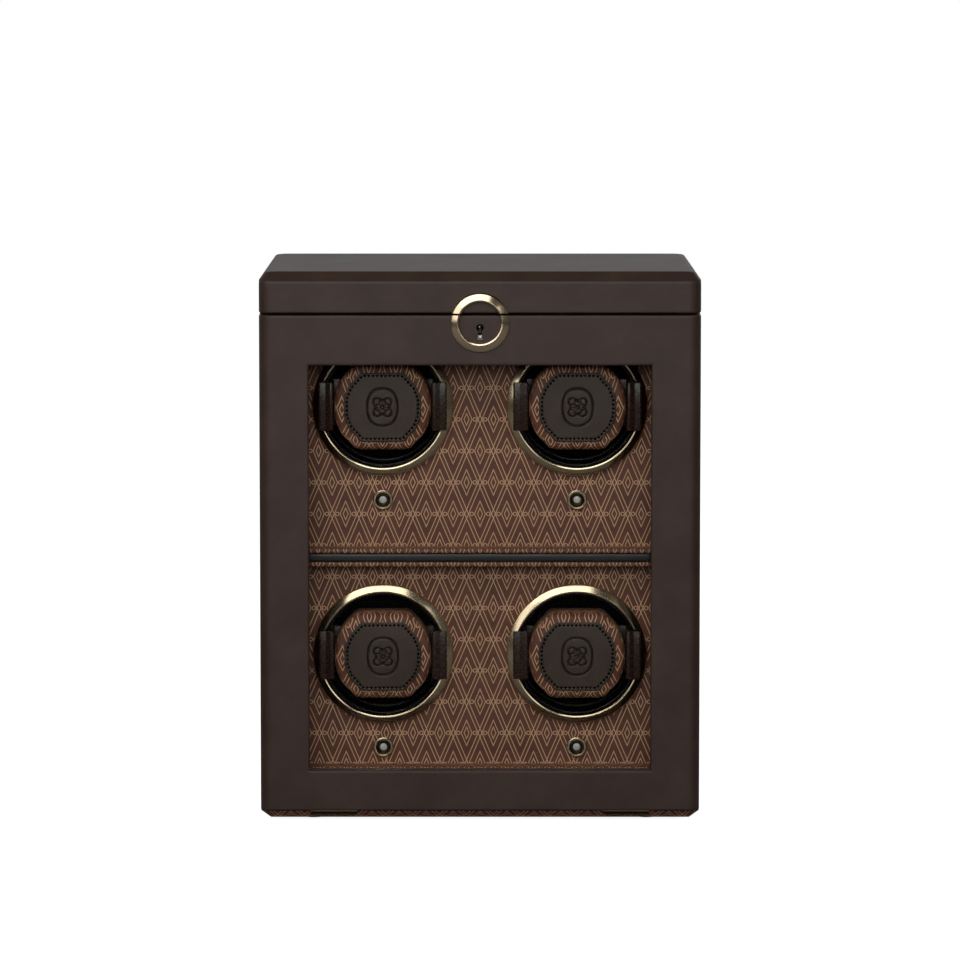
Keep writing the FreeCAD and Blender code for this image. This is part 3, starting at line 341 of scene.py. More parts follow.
def printed_canvas(name, ground, shade, ink):
    """Coated canvas with the printed trellis and a plain weave under the print."""
    material, tree, shader = new_material(name, roughness=0.6)

    def maths(operation, first, second=0.0, third=0.0):
        values = {0: first, 1: second, 2: third}
        return add_node(tree, "Math", values, operation=operation)

    def inked_at(distance, place, half=INK_HALF):
        """1 where a distance is within half a line's width of a place."""
        return maths("COMPARE", distance, place, half)

    spot = add_node(tree, "TexCoord", out=3)
    x, y, z = add_node(tree, "SeparateXYZ", {0: spot}, None).outputs
    normal = add_node(tree, "TexCoord", out=1)
    facing = add_node(tree, "SeparateXYZ", {0: normal})
    side = maths("GREATER_THAN", maths("ABSOLUTE", facing), 0.7)
    across = maths("ADD", maths("MULTIPLY", maths("SUBTRACT", y, x), side), x)
    across = maths("MULTIPLY", across, 1 / MM)
    depth = maths("MULTIPLY", y, maths("SUBTRACT", 1.0, side))
    up = maths("MULTIPLY", maths("SUBTRACT", z, depth), 1 / MM)
    columns = maths("DIVIDE", across, REPEAT_ACROSS)
    rows = maths("DIVIDE", up, REPEAT_UP)
    families = [maths("ADD", columns, rows), maths("SUBTRACT", columns, rows)]
    away = [maths("MULTIPLY", maths("PINGPONG", f, 0.5), LINE_SPACING) for f in families]
    lines = maths("MAXIMUM", *[inked_at(distance, DOUBLE_LINE) for distance in away])
    offsets = [maths("SUBTRACT", f, maths("ROUND", f)) for f in families]
    beside = maths("MULTIPLY", maths("ADD", *offsets), REPEAT_ACROSS / 2)
    above = maths("MULTIPLY", maths("SUBTRACT", *offsets), REPEAT_UP / 2)
    beside = maths("SUBTRACT", maths("ABSOLUTE", beside), RING_OUT)
    from_ring = maths("SQRT", maths("ADD", maths("POWER", beside, 2.0), maths("POWER", above, 2.0)))
    rings = inked_at(from_ring, DOUBLE_LINE)
    from_centre = maths("SUBTRACT", LINE_SPACING / 2, maths("MINIMUM", *away))
    lozenges = maths("MAXIMUM", *[inked_at(from_centre, place, 0.26) for place in (3.3, 1.5)])
    inked = maths("MAXIMUM", maths("MAXIMUM", lines, rings), lozenges)
    worn = add_node(tree, "TexNoise", {"Vector": spot, "Scale": 900.0, "Detail": 2.0})
    wear = add_node(tree, "MapRange", {"Value": worn, "To Min": 0.7})
    strength = maths("MULTIPLY", inked, wear)
    warp = add_node(tree, "TexWave", {"Vector": spot, "Scale": 1 / (40 * THREAD_MM * MM)},
                    bands_direction="DIAGONAL", wave_profile="SIN")
    blotch = add_node(tree, "TexNoise", {"Vector": spot, "Scale": 60.0, "Detail": 5.0})
    fade = add_node(tree, "MapRange", {"Value": blotch, "From Min": 0.3, "From Max": 0.7})
    cloth = add_node(tree, "Mix", {0: fade, 6: linear(shade), 7: linear(ground)}, 2,
                     data_type="RGBA")
    colour = add_node(tree, "Mix", {0: strength, 6: cloth, 7: linear(ink)}, out=2,
                      data_type="RGBA")
    weave = add_node(tree, "Bump",
                     {"Strength": 0.35, "Distance": 0.08 * MM, "Height": warp})
    raised = add_node(tree, "Bump",
                      {"Strength": 0.3, "Distance": 0.05 * MM, "Height": strength, "Normal": weave})
    feed(tree, shader, Base_Color=colour, Normal=raised)
    return material


canvas = printed_canvas("coated_cotton_canvas", "#643725", "#552c1e", "#dfae86")
print("trellis lines every", round(LINE_SPACING, 2), "mm")

# %% [markdown]
# ## Metals
# The bezels, lock ring and switch rings are brass, polished and plated in a pale champagne gold. A
# metal's colour is that of its reflections, so base colour is light and the room does the rest.
# Slight variation of roughness stands for the hairlines that polishing leaves. Hinges are bronze,
# and the motors and pulleys are zinc-plated steel.


# %% Metal finishes
def fine_marks(tree, shader, size_mm, detail, rough, strength, depth_mm):
    """One fine noise that makes the roughness uneven between two values and raises the surface."""
    spot = add_node(tree, "TexCoord", out=3)
    marks = add_node(tree, "TexNoise",
                     {"Vector": spot, "Scale": 1 / (size_mm * MM), "Detail": detail})
    uneven = add_node(tree, "MapRange",
                      {"Value": marks, "To Min": rough[0], "To Max": rough[1]})
    bump = add_node(tree, "Bump",
                    {"Strength": strength, "Distance": depth_mm * MM, "Height": marks})
    feed(tree, shader, Roughness=uneven, Normal=bump)


def polished_metal(name, colour, roughness):
    """Metal with faint polishing marks in its roughness and bump."""
    material, tree, shader = new_material(name, base_color=linear(colour), metallic=1.0,
                                          roughness=roughness)
    fine_marks(tree, shader, 0.4, 3.0, (roughness * 0.85, roughness * 1.2), 0.05, 0.02)
    return material


champagne = polished_metal("champagne_plated_brass", "#e0c9a8", 0.17)
bronze = polished_metal("burnished_bronze", "#54432c", 0.4)
# Dark bronze for the button dishes; on the door's hinges it is partly painted shade under the door.
dark_bronze_and_hinge_shade = polished_metal("dark_turned_bronze_and_hinge_shade", "#3c342b", 0.3)
steel = polished_metal("zinc_plated_steel", "#a9abad", 0.32)
# Near-black steel for the lock plug: painted shade inside the keyhole.
keyhole_shade_steel = polished_metal("lock_steel_painted_shade", "#0c0c0d", 0.35)
print("metals:", champagne.name, bronze.name, steel.name)

# %% [markdown]
# ## Plastics, lacquer, rubber and board
# The cups are injection-moulded ABS, glossy black. The cuffs' grips are a dark brown polycarbonate
# that lets a little light in. The shelf edge and glazing bead are lacquered black. Each starts from
# the roughness of its moulded or sprayed surface, and a fine orange-peel bump breaks its
# reflections.


# %% Moulded and sprayed finishes
def moulded(name, colour, roughness, peel_mm=1.5, strength=0.06, **more):
    """An even colour with the slight orange peel of a moulded or sprayed surface."""
    material, tree, shader = new_material(name, base_color=linear(colour), roughness=roughness,
                                          **more)
    fine_marks(tree, shader, peel_mm, 2.0, (roughness * 0.85, roughness * 1.25), strength, 0.05)
    return material


black_plastic = moulded("moulded_black_abs", "#030304", 0.24, specular_ior_level=0.2)
brown_plastic = moulded("dark_brown_polycarbonate", "#2c1a13", 0.26, specular_ior_level=0.35)
button_plastic = moulded("clear_button_acrylic", "#b9b6ac", 0.18, coat_weight=0.5)
black_lacquer = moulded("black_satin_lacquer", "#131416", 0.36)
foot_rubber = moulded("black_foot_rubber", "#151515", 0.8, strength=0.2)
belt_rubber = moulded("belt_rubber", "#1c1c1c", 0.7, strength=0.2)
board_green = moulded("circuit_board_resist", "#1f4a2e", 0.35)
thread_black = moulded("waxed_black_thread", "#030202", 0.9, 0.3, 0.4, specular_ior_level=0.1)


def birch_board(name):
    """Sawn birch ply: pale wood with long, faint grain."""
    material, tree, shader = new_material(name, roughness=0.62)
    spot = add_node(tree, "TexCoord", out=3)
    drawn = add_node(tree, "Mapping", {0: spot, 3: (300.0, 300.0, 18.0)})
    grain = add_node(tree, "TexNoise", {"Vector": drawn, "Scale": 1.0, "Detail": 4.0})
    ring = add_node(tree, "MapRange", {"Value": grain, "From Min": 0.35, "From Max": 0.65})
    wood = add_node(tree, "Mix", {0: ring, 6: linear("#b89468"), 7: linear("#d3b48a")}, 2,
                    data_type="RGBA")
    bump = add_node(tree, "Bump",
                    {"Strength": 0.15, "Distance": 0.1 * MM, "Height": grain})
    feed(tree, shader, Base_Color=wood, Normal=bump)
    return material


birch = birch_board("birch_plywood")

# %% [markdown]
# ## Door glass
# Clear flat glass with an anti-reflection coating, as on display cases: what lies behind it stays
# dark and clear. A solid glass shader would need many bounces to light the inside. Mixing a
# transparent shader with a little gloss, by Fresnel, gives the same look and lets light through.


# %% Coated glass
def coated_glass(name, edge_tint):
    """Glass that shows what is behind it, with a weak reflection that grows at a slant."""
    material, tree = empty_material(name)
    clear = add_node(tree, "BsdfTransparent", {"Color": linear(edge_tint)})
    gloss = add_node(tree, "BsdfGlossy", {"Roughness": 0.02})
    slant = add_node(tree, "Fresnel", {"IOR": 1.12})
    coated = add_node(tree, "MixShader", {0: slant, 1: clear, 2: gloss})
    add_node(tree, "OutputMaterial", {"Surface": coated}, None)
    return material


glass = coated_glass("anti_reflection_glass", "#fbfcfb")

# %% [markdown]
# ## Finishes of the CAD parts that stay
# Boards, hinges, motors and the glass already have their true shape in CAD. Each takes the finish
# that its material slot names, but for a few. The leather wraps the sill, which shows when the door
# is down. The lock plug is near-black steel, as painted shade inside the keyhole, and the door's
# hinges take a dark bronze, partly as painted shade under the door, so they don't glint from below.

# %% Painting the CAD nodes
FINISHES = {
    "dark_leather": brown_leather, "patterned_canvas": canvas, "birch_board": birch,
    "black_lacquer": black_lacquer, "champagne_metal": champagne, "bronze": bronze, "steel": steel,
    "black_plastic": black_plastic, "brown_plastic": brown_plastic,
    "button_plastic": button_plastic, "clear_glass": glass, "foot_rubber": foot_rubber,
    "belt_rubber": belt_rubber, "circuit_board": board_green,
}
# The lock plug's near black and the door hinges' dark bronze are painted shade in the keyhole and
# under the door; the base board takes plain leather.
OWN_FINISHES_AND_SHADE = {"lock_plug": keyhole_shade_steel, "base_board": brown_leather,
                "sill_hinge_leaves": dark_bronze_and_hinge_shade, "door_hinge_leaves": dark_bronze_and_hinge_shade}
for part in frame["record"]["subparts"]:
    node = part["node"]
    for mesh_slot in frame["nodes"][node].material_slots:
        mesh_slot.material = OWN_FINISHES_AND_SHADE.get(node, FINISHES[part["material_slot"]])

# %% [markdown]
# ## The door's leather
# One hide is drawn over the door frame: round the outer corners, flat across the front, and over
# the window's edge down to the glass. The outline is a rectangle at every depth, so the cover is a
# closed loft of rectangles from its back edge to the front and in to the glass rebate. The keyhole
# and the hinges' notches are cut last with one boolean.

# %% Door cover
EDGE = 1.2
WINDOW_EDGE = 1.1
REBATE = 6
window_side = glass_high.x - REBATE
window_low, window_high = glass_low.z + REBATE, glass_high.z - REBATE


def upright_ring(half_x, low, high, y, radius=0.8):
    """A rectangle that stands across the front, with slightly rounded corners."""
    path = rounded(rectangle(half_x, low, high), radius, steps=3, guard=0.5)
    return [(u, y, v) for u, v in path]


def door_cover_rings():
    """Rectangles from the door's back edge, over its front and in to the glass."""
    low, high = door_low.z, door_high.z
    rings = [upright_ring(HALF_WIDTH - 0.6, low + 0.6, high - 0.6, door_high.y),
             upright_ring(HALF_WIDTH, low, high, door_high.y - 0.6),
             upright_ring(HALF_WIDTH, low, high, FRONT + CORNER_RADIUS + 0.5)]
    for degrees in (0, 11, 22, 33, 44, 55, 63, 68, 73, 78, 84, 90):
        turn = math.radians(degrees)
        depth = CORNER_RADIUS * (1 - math.sin(turn))
        inset_x = CORNER_RADIUS * (1 - math.cos(turn))
        inset_z = EDGE - math.sqrt(EDGE ** 2 - (EDGE - depth) ** 2) if depth < EDGE else 0.0
        rings.append(upright_ring(HALF_WIDTH - inset_x, low + inset_z, high - inset_z,
                                  FRONT + depth))
    flat, edge = CORNER_RADIUS + 1.2, EDGE + 1.2
    rings.append(upright_ring(HALF_WIDTH - flat, low + edge, high - edge, FRONT))
    turns = [math.radians(a) for a in (0, 22, 45, 68, 90)]
    rolled = [(WINDOW_EDGE * (1 - math.sin(a)), WINDOW_EDGE * (1 - math.cos(a))) for a in turns]
    for out, depth in [(WINDOW_EDGE + 1.2, 0), *rolled, (0, WINDOW_EDGE + 1)]:
        rings.append(upright_ring(window_side + out, window_low - out, window_high + out,
                                  FRONT + depth, 0.5))
    rings.append(upright_ring(window_side, window_low, window_high, glass_low.y - 0.2, 0.5))
    for y in (glass_low.y - 0.1, door_high.y):
        rings.append(upright_ring(glass_high.x, glass_low.z, glass_high.z, y, 0.5))
    return rings


KEY_RADIUS = 2.5
KEY_SLOT = 7.6
HINGE_X = 95.0
HINGE_HALF = 19.5
key_z = extent("lock_plug")[0].z + 4.9


def door_cutter(depth):
    """A keyhole, round with a slot that flares downwards, and a notch for each hinge."""
    turns = [math.radians(-157 + 314 * k / 24) for k in range(25)]
    outline = [(KEY_RADIUS * math.sin(a), key_z + KEY_RADIUS * math.cos(a)) for a in turns]
    outline += [(1.9, key_z - KEY_SLOT), (-1.9, key_z - KEY_SLOT)]
    cutter = loft([[(u, y, v) for u, v in outline] for y in (FRONT - 1, FRONT + depth)])
    for middle in (-HINGE_X, HINGE_X):
        add_box(cutter, (middle - HINGE_HALF, FRONT + 0.4, door_low.z - 1),
                (middle + HINGE_HALF, FRONT + 6, door_low.z + 2.2))
    return cutter


door_cover = make_piece("door_leather_cover", loft(door_cover_rings(), joined=True), brown_leather,
                        "door", ["door_leather"])
cut_away(door_cover, door_cutter(depth=5))
print("door cover:", len(door_cover.data.vertices), "points")

# %% [markdown]
# ## The lid's leather
# The lid is a shallow tray turned upside down, with a wide bevel round its top. Leather creased
# over such a bevel keeps a soft, slightly raised edge. The lid is the same in plan at every height
# but for its inset, so one profile from the inner ceiling, down round the rim and up over the
# bevel, is repeated round the plan. A pocket in the rim's underside takes the lock's cam.

# %% Lid cover
LID_BEVEL = 6.5
INNER_INSET = 12.25
recess_top = extent("lid_lining")[1].z


def plan_ring(inset, z):
    """A level rectangle. Its corners tighten inwards, and its bevel is rounder at the sides."""
    tightening = 1 / 3 if z > lid_low.z + 5 else 1
    radius = max(CORNER_RADIUS - inset * tightening, 0.6)
    side = inset
    if z >= lid_high.z - LID_BEVEL and inset <= LID_BEVEL:
        side = LID_BEVEL - math.sqrt(LID_BEVEL ** 2 - inset ** 2)
    corners = rectangle(HALF_WIDTH - side, lid_low.y + inset, lid_high.y - inset)
    return [(u, v, z) for u, v in rounded(corners, radius, steps=8, guard=0.4)]


lid_profile = rounded(
    [(INNER_INSET, recess_top - 0.1), (INNER_INSET, lid_low.z), (0, lid_low.z),
     (0, lid_high.z - LID_BEVEL), (LID_BEVEL, lid_high.z), (LID_BEVEL + 6, lid_high.z)],
    [1, 0.6, 1.1, 2.4, 1.3, 1], steps=6, closed=False, guard=0.6)
lid_cover = make_piece("lid_leather_cover", loft([plan_ring(inset, z) for inset, z in lid_profile]),
                       brown_leather, "lid", ["lid_leather", "lid_board"])
POCKET_LOW, POCKET_HIGH = (-2.9, -102.1, lid_low.z - 1), (13.9, -97.9, 338.7)
pocket = bmesh.new()
add_box(pocket, POCKET_LOW, POCKET_HIGH)
cut_away(lid_cover, pocket)
print("lid cover:", len(lid_cover.data.vertices), "points")

# %% [markdown]
# ## Linings and shelf
# Each compartment is lined by stiff card wrapped in canvas, so its front lip is a soft roll and not
# a sharp edge. Rounded boxes joined in one mesh are enough, since the corners between walls are
# hidden by the rolls. The shelf between the compartments is a lacquered board with a rounded nose.

# %% Linings
LIP_ROUND = 1.2
CARD = 3.0


def lining(name, node, floor_rise, ceiling):
    """Walls, floor and, where there is one, ceiling of a compartment's lining."""
    low, high = extent(node)
    boxes = [((low.x, low.y, low.z), (high.x, high.y, low.z + floor_rise)),
             ((low.x, low.y, low.z), (low.x + CARD, high.y, high.z)),
             ((high.x - CARD, low.y, low.z), (high.x, high.y, high.z))]
    if ceiling:
        boxes.append(((low.x, low.y, high.z - CARD), (high.x, high.y, high.z)))
    return make_piece(name, rounded_boxes(boxes, LIP_ROUND, 4), canvas, "cabinet",
                      [node])


lining("lower_canvas_lining", "lower_lining", 16.0, True)
lining("upper_canvas_lining", "upper_lining", CARD, False)
shelf_low, shelf_high = extent("shelf_board")
make_piece("lacquered_shelf", rounded_boxes([(shelf_low, shelf_high)], 1.4, 5), black_lacquer,
           "cabinet", ["shelf_board"])
print("shelf is", round(shelf_high.z - shelf_low.z, 2), "mm thick")

# %% [markdown]
# ## Cup bezels
# Each cup is framed by a turned ring. Its broad face slopes outwards, so the upper half takes light
# from above and the lower half stays dark, and a narrow inner lip does the opposite. A lathe
# profile shows this best: the sloping face is slightly crowned, and both edges are broken.

# %% Bezels
bezel_low, bezel_high = extent("cup_bezels")
drum_low, drum_high = extent("drum_upper_left")
DRUM_RADIUS = (drum_high.x - drum_low.x) / 2
BEZEL_OUTER = bezel_high.x - cup_centre("upper_right")[0]
BEZEL_INNER = DRUM_RADIUS + 0.45


def bezel_profile():
    """A gently sloping face from the inner lip to the outer edge."""
    front, back = bezel_low.y, bezel_high.y
    return rounded(
        [(BEZEL_INNER, back), (BEZEL_OUTER - 1.5, back), (BEZEL_OUTER, front + 5.2),
         (BEZEL_OUTER, front + 3.2), (BEZEL_OUTER - 0.6, front + 2.1), (BEZEL_INNER + 1.0, front),
         (BEZEL_INNER, front + 0.42)],
        [0.1, 0.1, 0.2, 0.4, 0.5, 0.3, 0.4], steps=5)


for cup in CUPS:
    x, z = cup_centre(cup)
    make_piece("bezel_" + cup, turned(bezel_profile(), x, z, 128, joined=True), champagne,
               "cabinet", ["cup_bezels"], angle=50)
print("bezels from radius", round(BEZEL_INNER, 2), "to", round(BEZEL_OUTER, 2), "mm")

# %% [markdown]
# ## Drums
# The drum is a moulded cup that turns the cuff. Inside its rim a shallow step catches a thin line
# of light. Behind the floor it narrows to the spindle and the belt pulley.

# %% Drums
DRUM_WALL = 1.6


def drum_profile(low, high):
    """A cup with a stepped bore, from its middle round to its spindle."""
    bore = DRUM_RADIUS - DRUM_WALL
    floor = -15.0
    return rounded(
        [(0.05, floor), (bore - 1.4, floor), (bore - 1.4, low + 24), (bore, low + 24), (bore, low),
         (DRUM_RADIUS, low), (DRUM_RADIUS, floor + 3), (4, floor + 3), (4, high), (0.05, high)],
        [1, 3, 0.5, 0.5, 0.6, 0.6, 2, 1, 0.5, 1], steps=4, closed=False)


for cup in CUPS:
    x, z = cup_centre(cup)
    low, high = extent("drum_" + cup)
    make_piece("cup_drum_" + cup, turned(drum_profile(low.y, high.y), x, z), black_plastic,
               "drum_" + cup, ["drum_" + cup])
print("drums of radius", round(DRUM_RADIUS, 2), "mm")

# %% [markdown]
# ## Push buttons
# Under each cup a small lit button sits in its own champagne ring. The button is a dish with a
# clear dome in the middle.

# %% Buttons and their rings
LENS_SHARE = 0.52
SWITCH_BACK = -60
for cup in CUPS:
    x = cup_centre(cup)[0]
    button_low, button_high = extent("button_" + cup)
    z = (button_low.z + button_high.z) / 2
    edge = extent("switch_housings")[0].y
    face, radius = button_low.y, (button_high.x - button_low.x) / 2
    lens = radius * LENS_SHARE
    ring = rounded([(radius + 0.3, SWITCH_BACK), (radius + 1.3, SWITCH_BACK),
                    (radius + 1.3, edge + 0.9), (radius + 2.0, edge + 0.9),
                    (radius + 2.0, edge + 0.4), (radius + 1.4, edge), (radius + 0.7, edge),
                    (radius + 0.3, edge + 0.5)],
                   0.12, steps=2)
    make_piece("button_ring_" + cup, turned(ring, x, z, 48, joined=True), champagne, "cabinet",
               ["switch_housings"], angle=50)
    dish = rounded([(radius * 0.5, face + 0.9), (radius * 0.72, face + 0.9),
                    (radius - 0.5, face + 0.1), (radius, face + 0.4), (radius, face + 4),
                    (1.5, face + 4), (1.5, button_high.y), (0.05, button_high.y)],
                   [0.1, 0.3, 0.2, 0.2, 0.3, 0.3, 0.1, 0.1], steps=3, closed=False)
    make_piece("button_dish_" + cup, turned([(0.05, face + 0.9)] + dish, x, z, 48), dark_bronze_and_hinge_shade,
               "button_" + cup, ["button_" + cup], angle=50)
    turns = [math.radians(a) for a in range(0, 86, 12)]
    dome = [(lens * math.cos(a), face + 0.9 - 0.8 * math.sin(a)) for a in turns]
    make_piece("button_lens_" + cup, turned([(lens, face + 1.3)] + dome, x, z, 32), button_plastic,
               "button_" + cup, ["button_" + cup])
print("buttons of radius", round(radius, 2), "mm")

# %% [markdown]
# ## Cuff grips
# The cuff that carries the watch is held by two moulded wings. They slide inside the drum and end
# in ears that rest over the bezel, so that a finger can pull the cuff out. The whole grip is one
# U-shaped moulding of constant height, so its outline is pushed up and down, and a bevel modifier
# breaks the edges of the two ends.

# %% Grips
cuff_low, cuff_high = extent("cuff_pad_upper_left")
frame_low, frame_high = extent("cuff_frame_upper_left")
EAR_REACH = (frame_high.x - frame_low.x) / 2
FLARE = -72.5
WING_HEIGHT = 31.5
WING_OUT = 34.8
WING_IN = 33.1


def grip_outline():
    """The grip seen from above: half an outline, then its mirror image."""
    spine, ear = cuff_high.y, frame_low.y
    half = [(0, spine + 3), (WING_OUT, spine + 3), (WING_OUT, FLARE), (WING_OUT + 1.6, ear + 3.3),
            (EAR_REACH - 0.6, ear + 3.1), (EAR_REACH, ear + 2.2), (EAR_REACH - 1.0, ear + 1.2),
            (WING_IN + 4.2, ear + 1.4), (WING_IN + 1.0, ear), (WING_IN - 0.6, ear + 0.3),
            (WING_IN - 1.2, ear + 1.4), (WING_IN, ear + 5), (WING_IN, spine + 0.4),
            (0, spine + 0.4)]
    radii = [0.1, 1, 2, 0.8, 0.5, 0.6, 0.9, 1.2, 1.2, 0.8, 0.5, 1.5, 0.8, 0.1]
    path = rounded(half, radii, steps=4, closed=False)
    return path + [Vector((-x, y)) for x, y in reversed(path) if x > 0.01]


def on_each_cuff(master, name, material, stands_for=None, angle=60):
    """Places one mesh on all four cuffs, and removes the object that it was made with."""
    mesh = master.data
    bpy.data.objects.remove(master)
    pieces = []
    for cup in CUPS:
        x, z = cup_centre(cup)
        replaced = [stands_for + cup] if stands_for else ()
        pieces.append(place_mesh(name + cup, mesh, material, "cuff_" + cup, replaced, angle,
                                 (x, 0, z)))
    return pieces


grip_levels = [[(x, y, z) for x, y in grip_outline()] for z in (-WING_HEIGHT / 2, WING_HEIGHT / 2)]
grip = make_piece("grip", loft(grip_levels), brown_plastic, "cuff_upper_left",
                  angle=50)
break_edges = grip.modifiers.new("broken edges", "BEVEL")
break_edges.width = 0.5 * MM
break_edges.segments = 3
break_edges.angle_limit = math.radians(60)
applied(grip)
on_each_cuff(grip, "cuff_grip_", brown_plastic, "cuff_frame_", 50)
print("grips reach", round(EAR_REACH, 2), "mm from the axis")

# %% [markdown]
# ## Cuff cushions
# A watch strap closes round this cushion, so it is foam wrapped tightly in canvas, eight-sided with
# soft corners. Its shape could be sculpted, but cloth under pressure finds the fullness of a
# stuffed form by itself: the sides belly between the corners. One cushion is simulated, then used
# for all four cups.

# %% Cushion
CUFF_HALF_X = (cuff_high.x - cuff_low.x) / 2
CUFF_HALF_Z = (cuff_high.z - cuff_low.z) / 2
CUFF_FRONT = cuff_low.y
FRAMES = 20


def eight_sided(half_x, half_z, radius=4.0, steps=6):
    """The cuff's outline: flat top and bottom, with two slanting sides to each shoulder."""
    quarter = [(half_x, half_z * 0.25), (half_x * 0.88, half_z * 0.6), (half_x * 0.56, half_z)]
    top = quarter + [(-x, z) for x, z in reversed(quarter)]
    return rounded(top + [(-x, -z) for x, z in top], radius, steps)


def stuff(piece, cap_mm):
    """Fills a closed form with air, and keeps each point within a cap of where it started."""
    start = [v.co.copy() for v in piece.data.vertices]
    cloth = piece.modifiers.new("stuffing", "CLOTH")
    cloth.settings.use_pressure = True
    cloth.settings.uniform_pressure_force = 4
    cloth.settings.effector_weights.gravity = 0
    cloth.point_cache.frame_end = FRAMES
    scene = bpy.context.scene
    for number in range(1, FRAMES + 1):
        scene.frame_set(number)
    graph = bpy.context.evaluated_depsgraph_get()
    puffed = [v.co.copy() for v in piece.evaluated_get(graph).data.vertices]
    piece.modifiers.clear()
    scene.frame_set(1)
    furthest = 0.0
    for vertex, was, now in zip(piece.data.vertices, start, puffed):
        move = now - was
        furthest = max(furthest, move.length / MM)
        if move.length > cap_mm * MM:
            move *= cap_mm * MM / move.length
        vertex.co = was + move
    print("stuffing moved points up to", round(furthest, 2), "mm, capped at", cap_mm)


cuff_depth = cuff_high.y - cuff_low.y
DEPTH_STEPS = [(3.0, 0.0), (0.9, 0.8), (0.0, 3.0), (0.0, 14.0), (0.0, cuff_depth - 5),
               (0.6, cuff_depth - 2), (2.5, cuff_depth)]
SLACK = 1.0
cushion_rings = [[(x, CUFF_FRONT + SLACK + 0.2 + depth, z) for x, z in
                  evenly(eight_sided(CUFF_HALF_X - SLACK - inset, CUFF_HALF_Z - SLACK - inset), 96)]
                 for inset, depth in DEPTH_STEPS]
cushion = make_piece("cushion", loft(cushion_rings), canvas, "cuff_upper_left")
mould = cushion.modifiers.new("even cells", "REMESH")
mould.mode = "VOXEL"
mould.voxel_size = 2.0 * MM
applied(cushion)
stuff(cushion, 1.1)
finer = cushion.modifiers.new("finer", "SUBSURF")
finer.levels = finer.render_levels = 1
applied(cushion)
cushion.data.materials.clear()
print("cushion:", len(cushion.data.vertices), "points")
for pad in on_each_cuff(cushion, "cuff_cushion_", canvas, "cuff_pad_", 180):
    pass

# %% [markdown]
# ## Leather patches
# A stiff leather patch is sewn to each cushion's face. It is embossed: a heated stamp presses the
# leather down along the lines of a device and leaves it standing between them. A bump map would
# vanish at the edges of the light, so the relief is real geometry on a fine polar grid. Faces in
# the deeper stamped lines take a near-black leather, as painted shade in the grooves. The device
# here is an oval frame round an eight-petalled rosette.

# %% Patch with embossed rosette
PATCH_HALF_X = 25.2
PATCH_HALF_Z = 22.5
PATCH_THICKNESS = 1.3
PATCH_FRONT = CUFF_FRONT - 0.9
# How deep a stamped line must be for its faces to take the near-black painted shade.
GROOVE_SHADE_DEPTH = 0.45


def ridge(distance, width):
    """1 on a line, falling smoothly to 0 at its width."""
    return max(0.0, 1 - (distance / width) ** 2) ** 2


def emboss(x, z):
    """Depth of the stamped lines at a point, in millimetres."""
    radius, turn = math.hypot(x, z), math.atan2(z, x)
    oval = (abs(x / 9.8) ** 2.4 + abs(z / 12.2) ** 2.4) ** (1 / 2.4)
    petal = 2.6 + 4.6 * abs(math.cos(2 * turn + math.pi / 2)) ** 0.7
    small = 2.2 + 2.6 * abs(math.cos(2 * turn)) ** 0.7
    lines = ridge(abs(oval - 1) * 11, 1.0)
    lines = max(lines, ridge(abs(radius - petal), 0.9), 0.8 * ridge(abs(radius - small), 0.8))
    lines = max(lines, ridge(abs(radius - 1.1), 0.6))
    return lines


def patch_grid(spokes=216, hoops=56):
    """Rings from the patch's middle to its edge, with the stamp and a channel for the stitches."""
    outline = evenly(eight_sided(PATCH_HALF_X, PATCH_HALF_Z, 3.0), spokes)
    rings = []
    for hoop in range(1, hoops + 1):
        share = hoop / hoops
        ring = []
        for spot in outline:
            x, z = spot.x * share, spot.y * share
            rim = 0.5 * max(0.0, (share - 0.965) / 0.035) ** 2
            channel = 0.25 * ridge(abs((1 - share) * PATCH_HALF_Z - 1.9), 0.9)
            crown = 0.25 * (1 - share ** 2)
            ring.append((x, PATCH_FRONT - crown + rim + channel + emboss(x, z), z))
        rings.append(ring)
    rings.append([(spot.x, PATCH_FRONT + PATCH_THICKNESS, spot.y) for spot in outline])
    return loft(rings)


patch = make_piece("patch", patch_grid(), patch_leather, "cuff_upper_left")
# Faces in the deeper stamped lines take near-black leather: painted shade in the grooves.
patch.data.materials.append(groove_shade_leather)
for face in patch.data.polygons:
    if emboss(face.center.x / MM, face.center.z / MM) > GROOVE_SHADE_DEPTH:
        face.material_index = 1
print("patch:", len(patch.data.vertices), "points")
on_each_cuff(patch, "cuff_patch_", patch_leather)

# %% [markdown]
# ## Stitching
# The patch is saddle-stitched with waxed black thread: short stitches that dip into their holes,
# 2.7 mm apart. Each is a small capsule laid along the outline, a little below the leather at both
# ends.

# %% Stitches
STITCH_PITCH = 2.7


def capsule(solid, middle, along, length, radius):
    """A short thread whose ends dip below the surface."""
    toward_back = Vector((0, 1, 0))
    sideways = along.cross(toward_back)
    turns = [2 * math.pi * k / 10 for k in range(10)]
    rings = []
    for share in (-1, -0.9, -0.6, 0, 0.6, 0.9, 1):
        thin = radius * math.sqrt(max(1.02 - share * share, 0.02))
        spot = middle + along * (share * length / 2) + toward_back * (0.4 * share * share)
        rings.append([spot + thin * (sideways * math.cos(a) + toward_back * math.sin(a))
                      for a in turns])
    loft(rings, solid=solid)


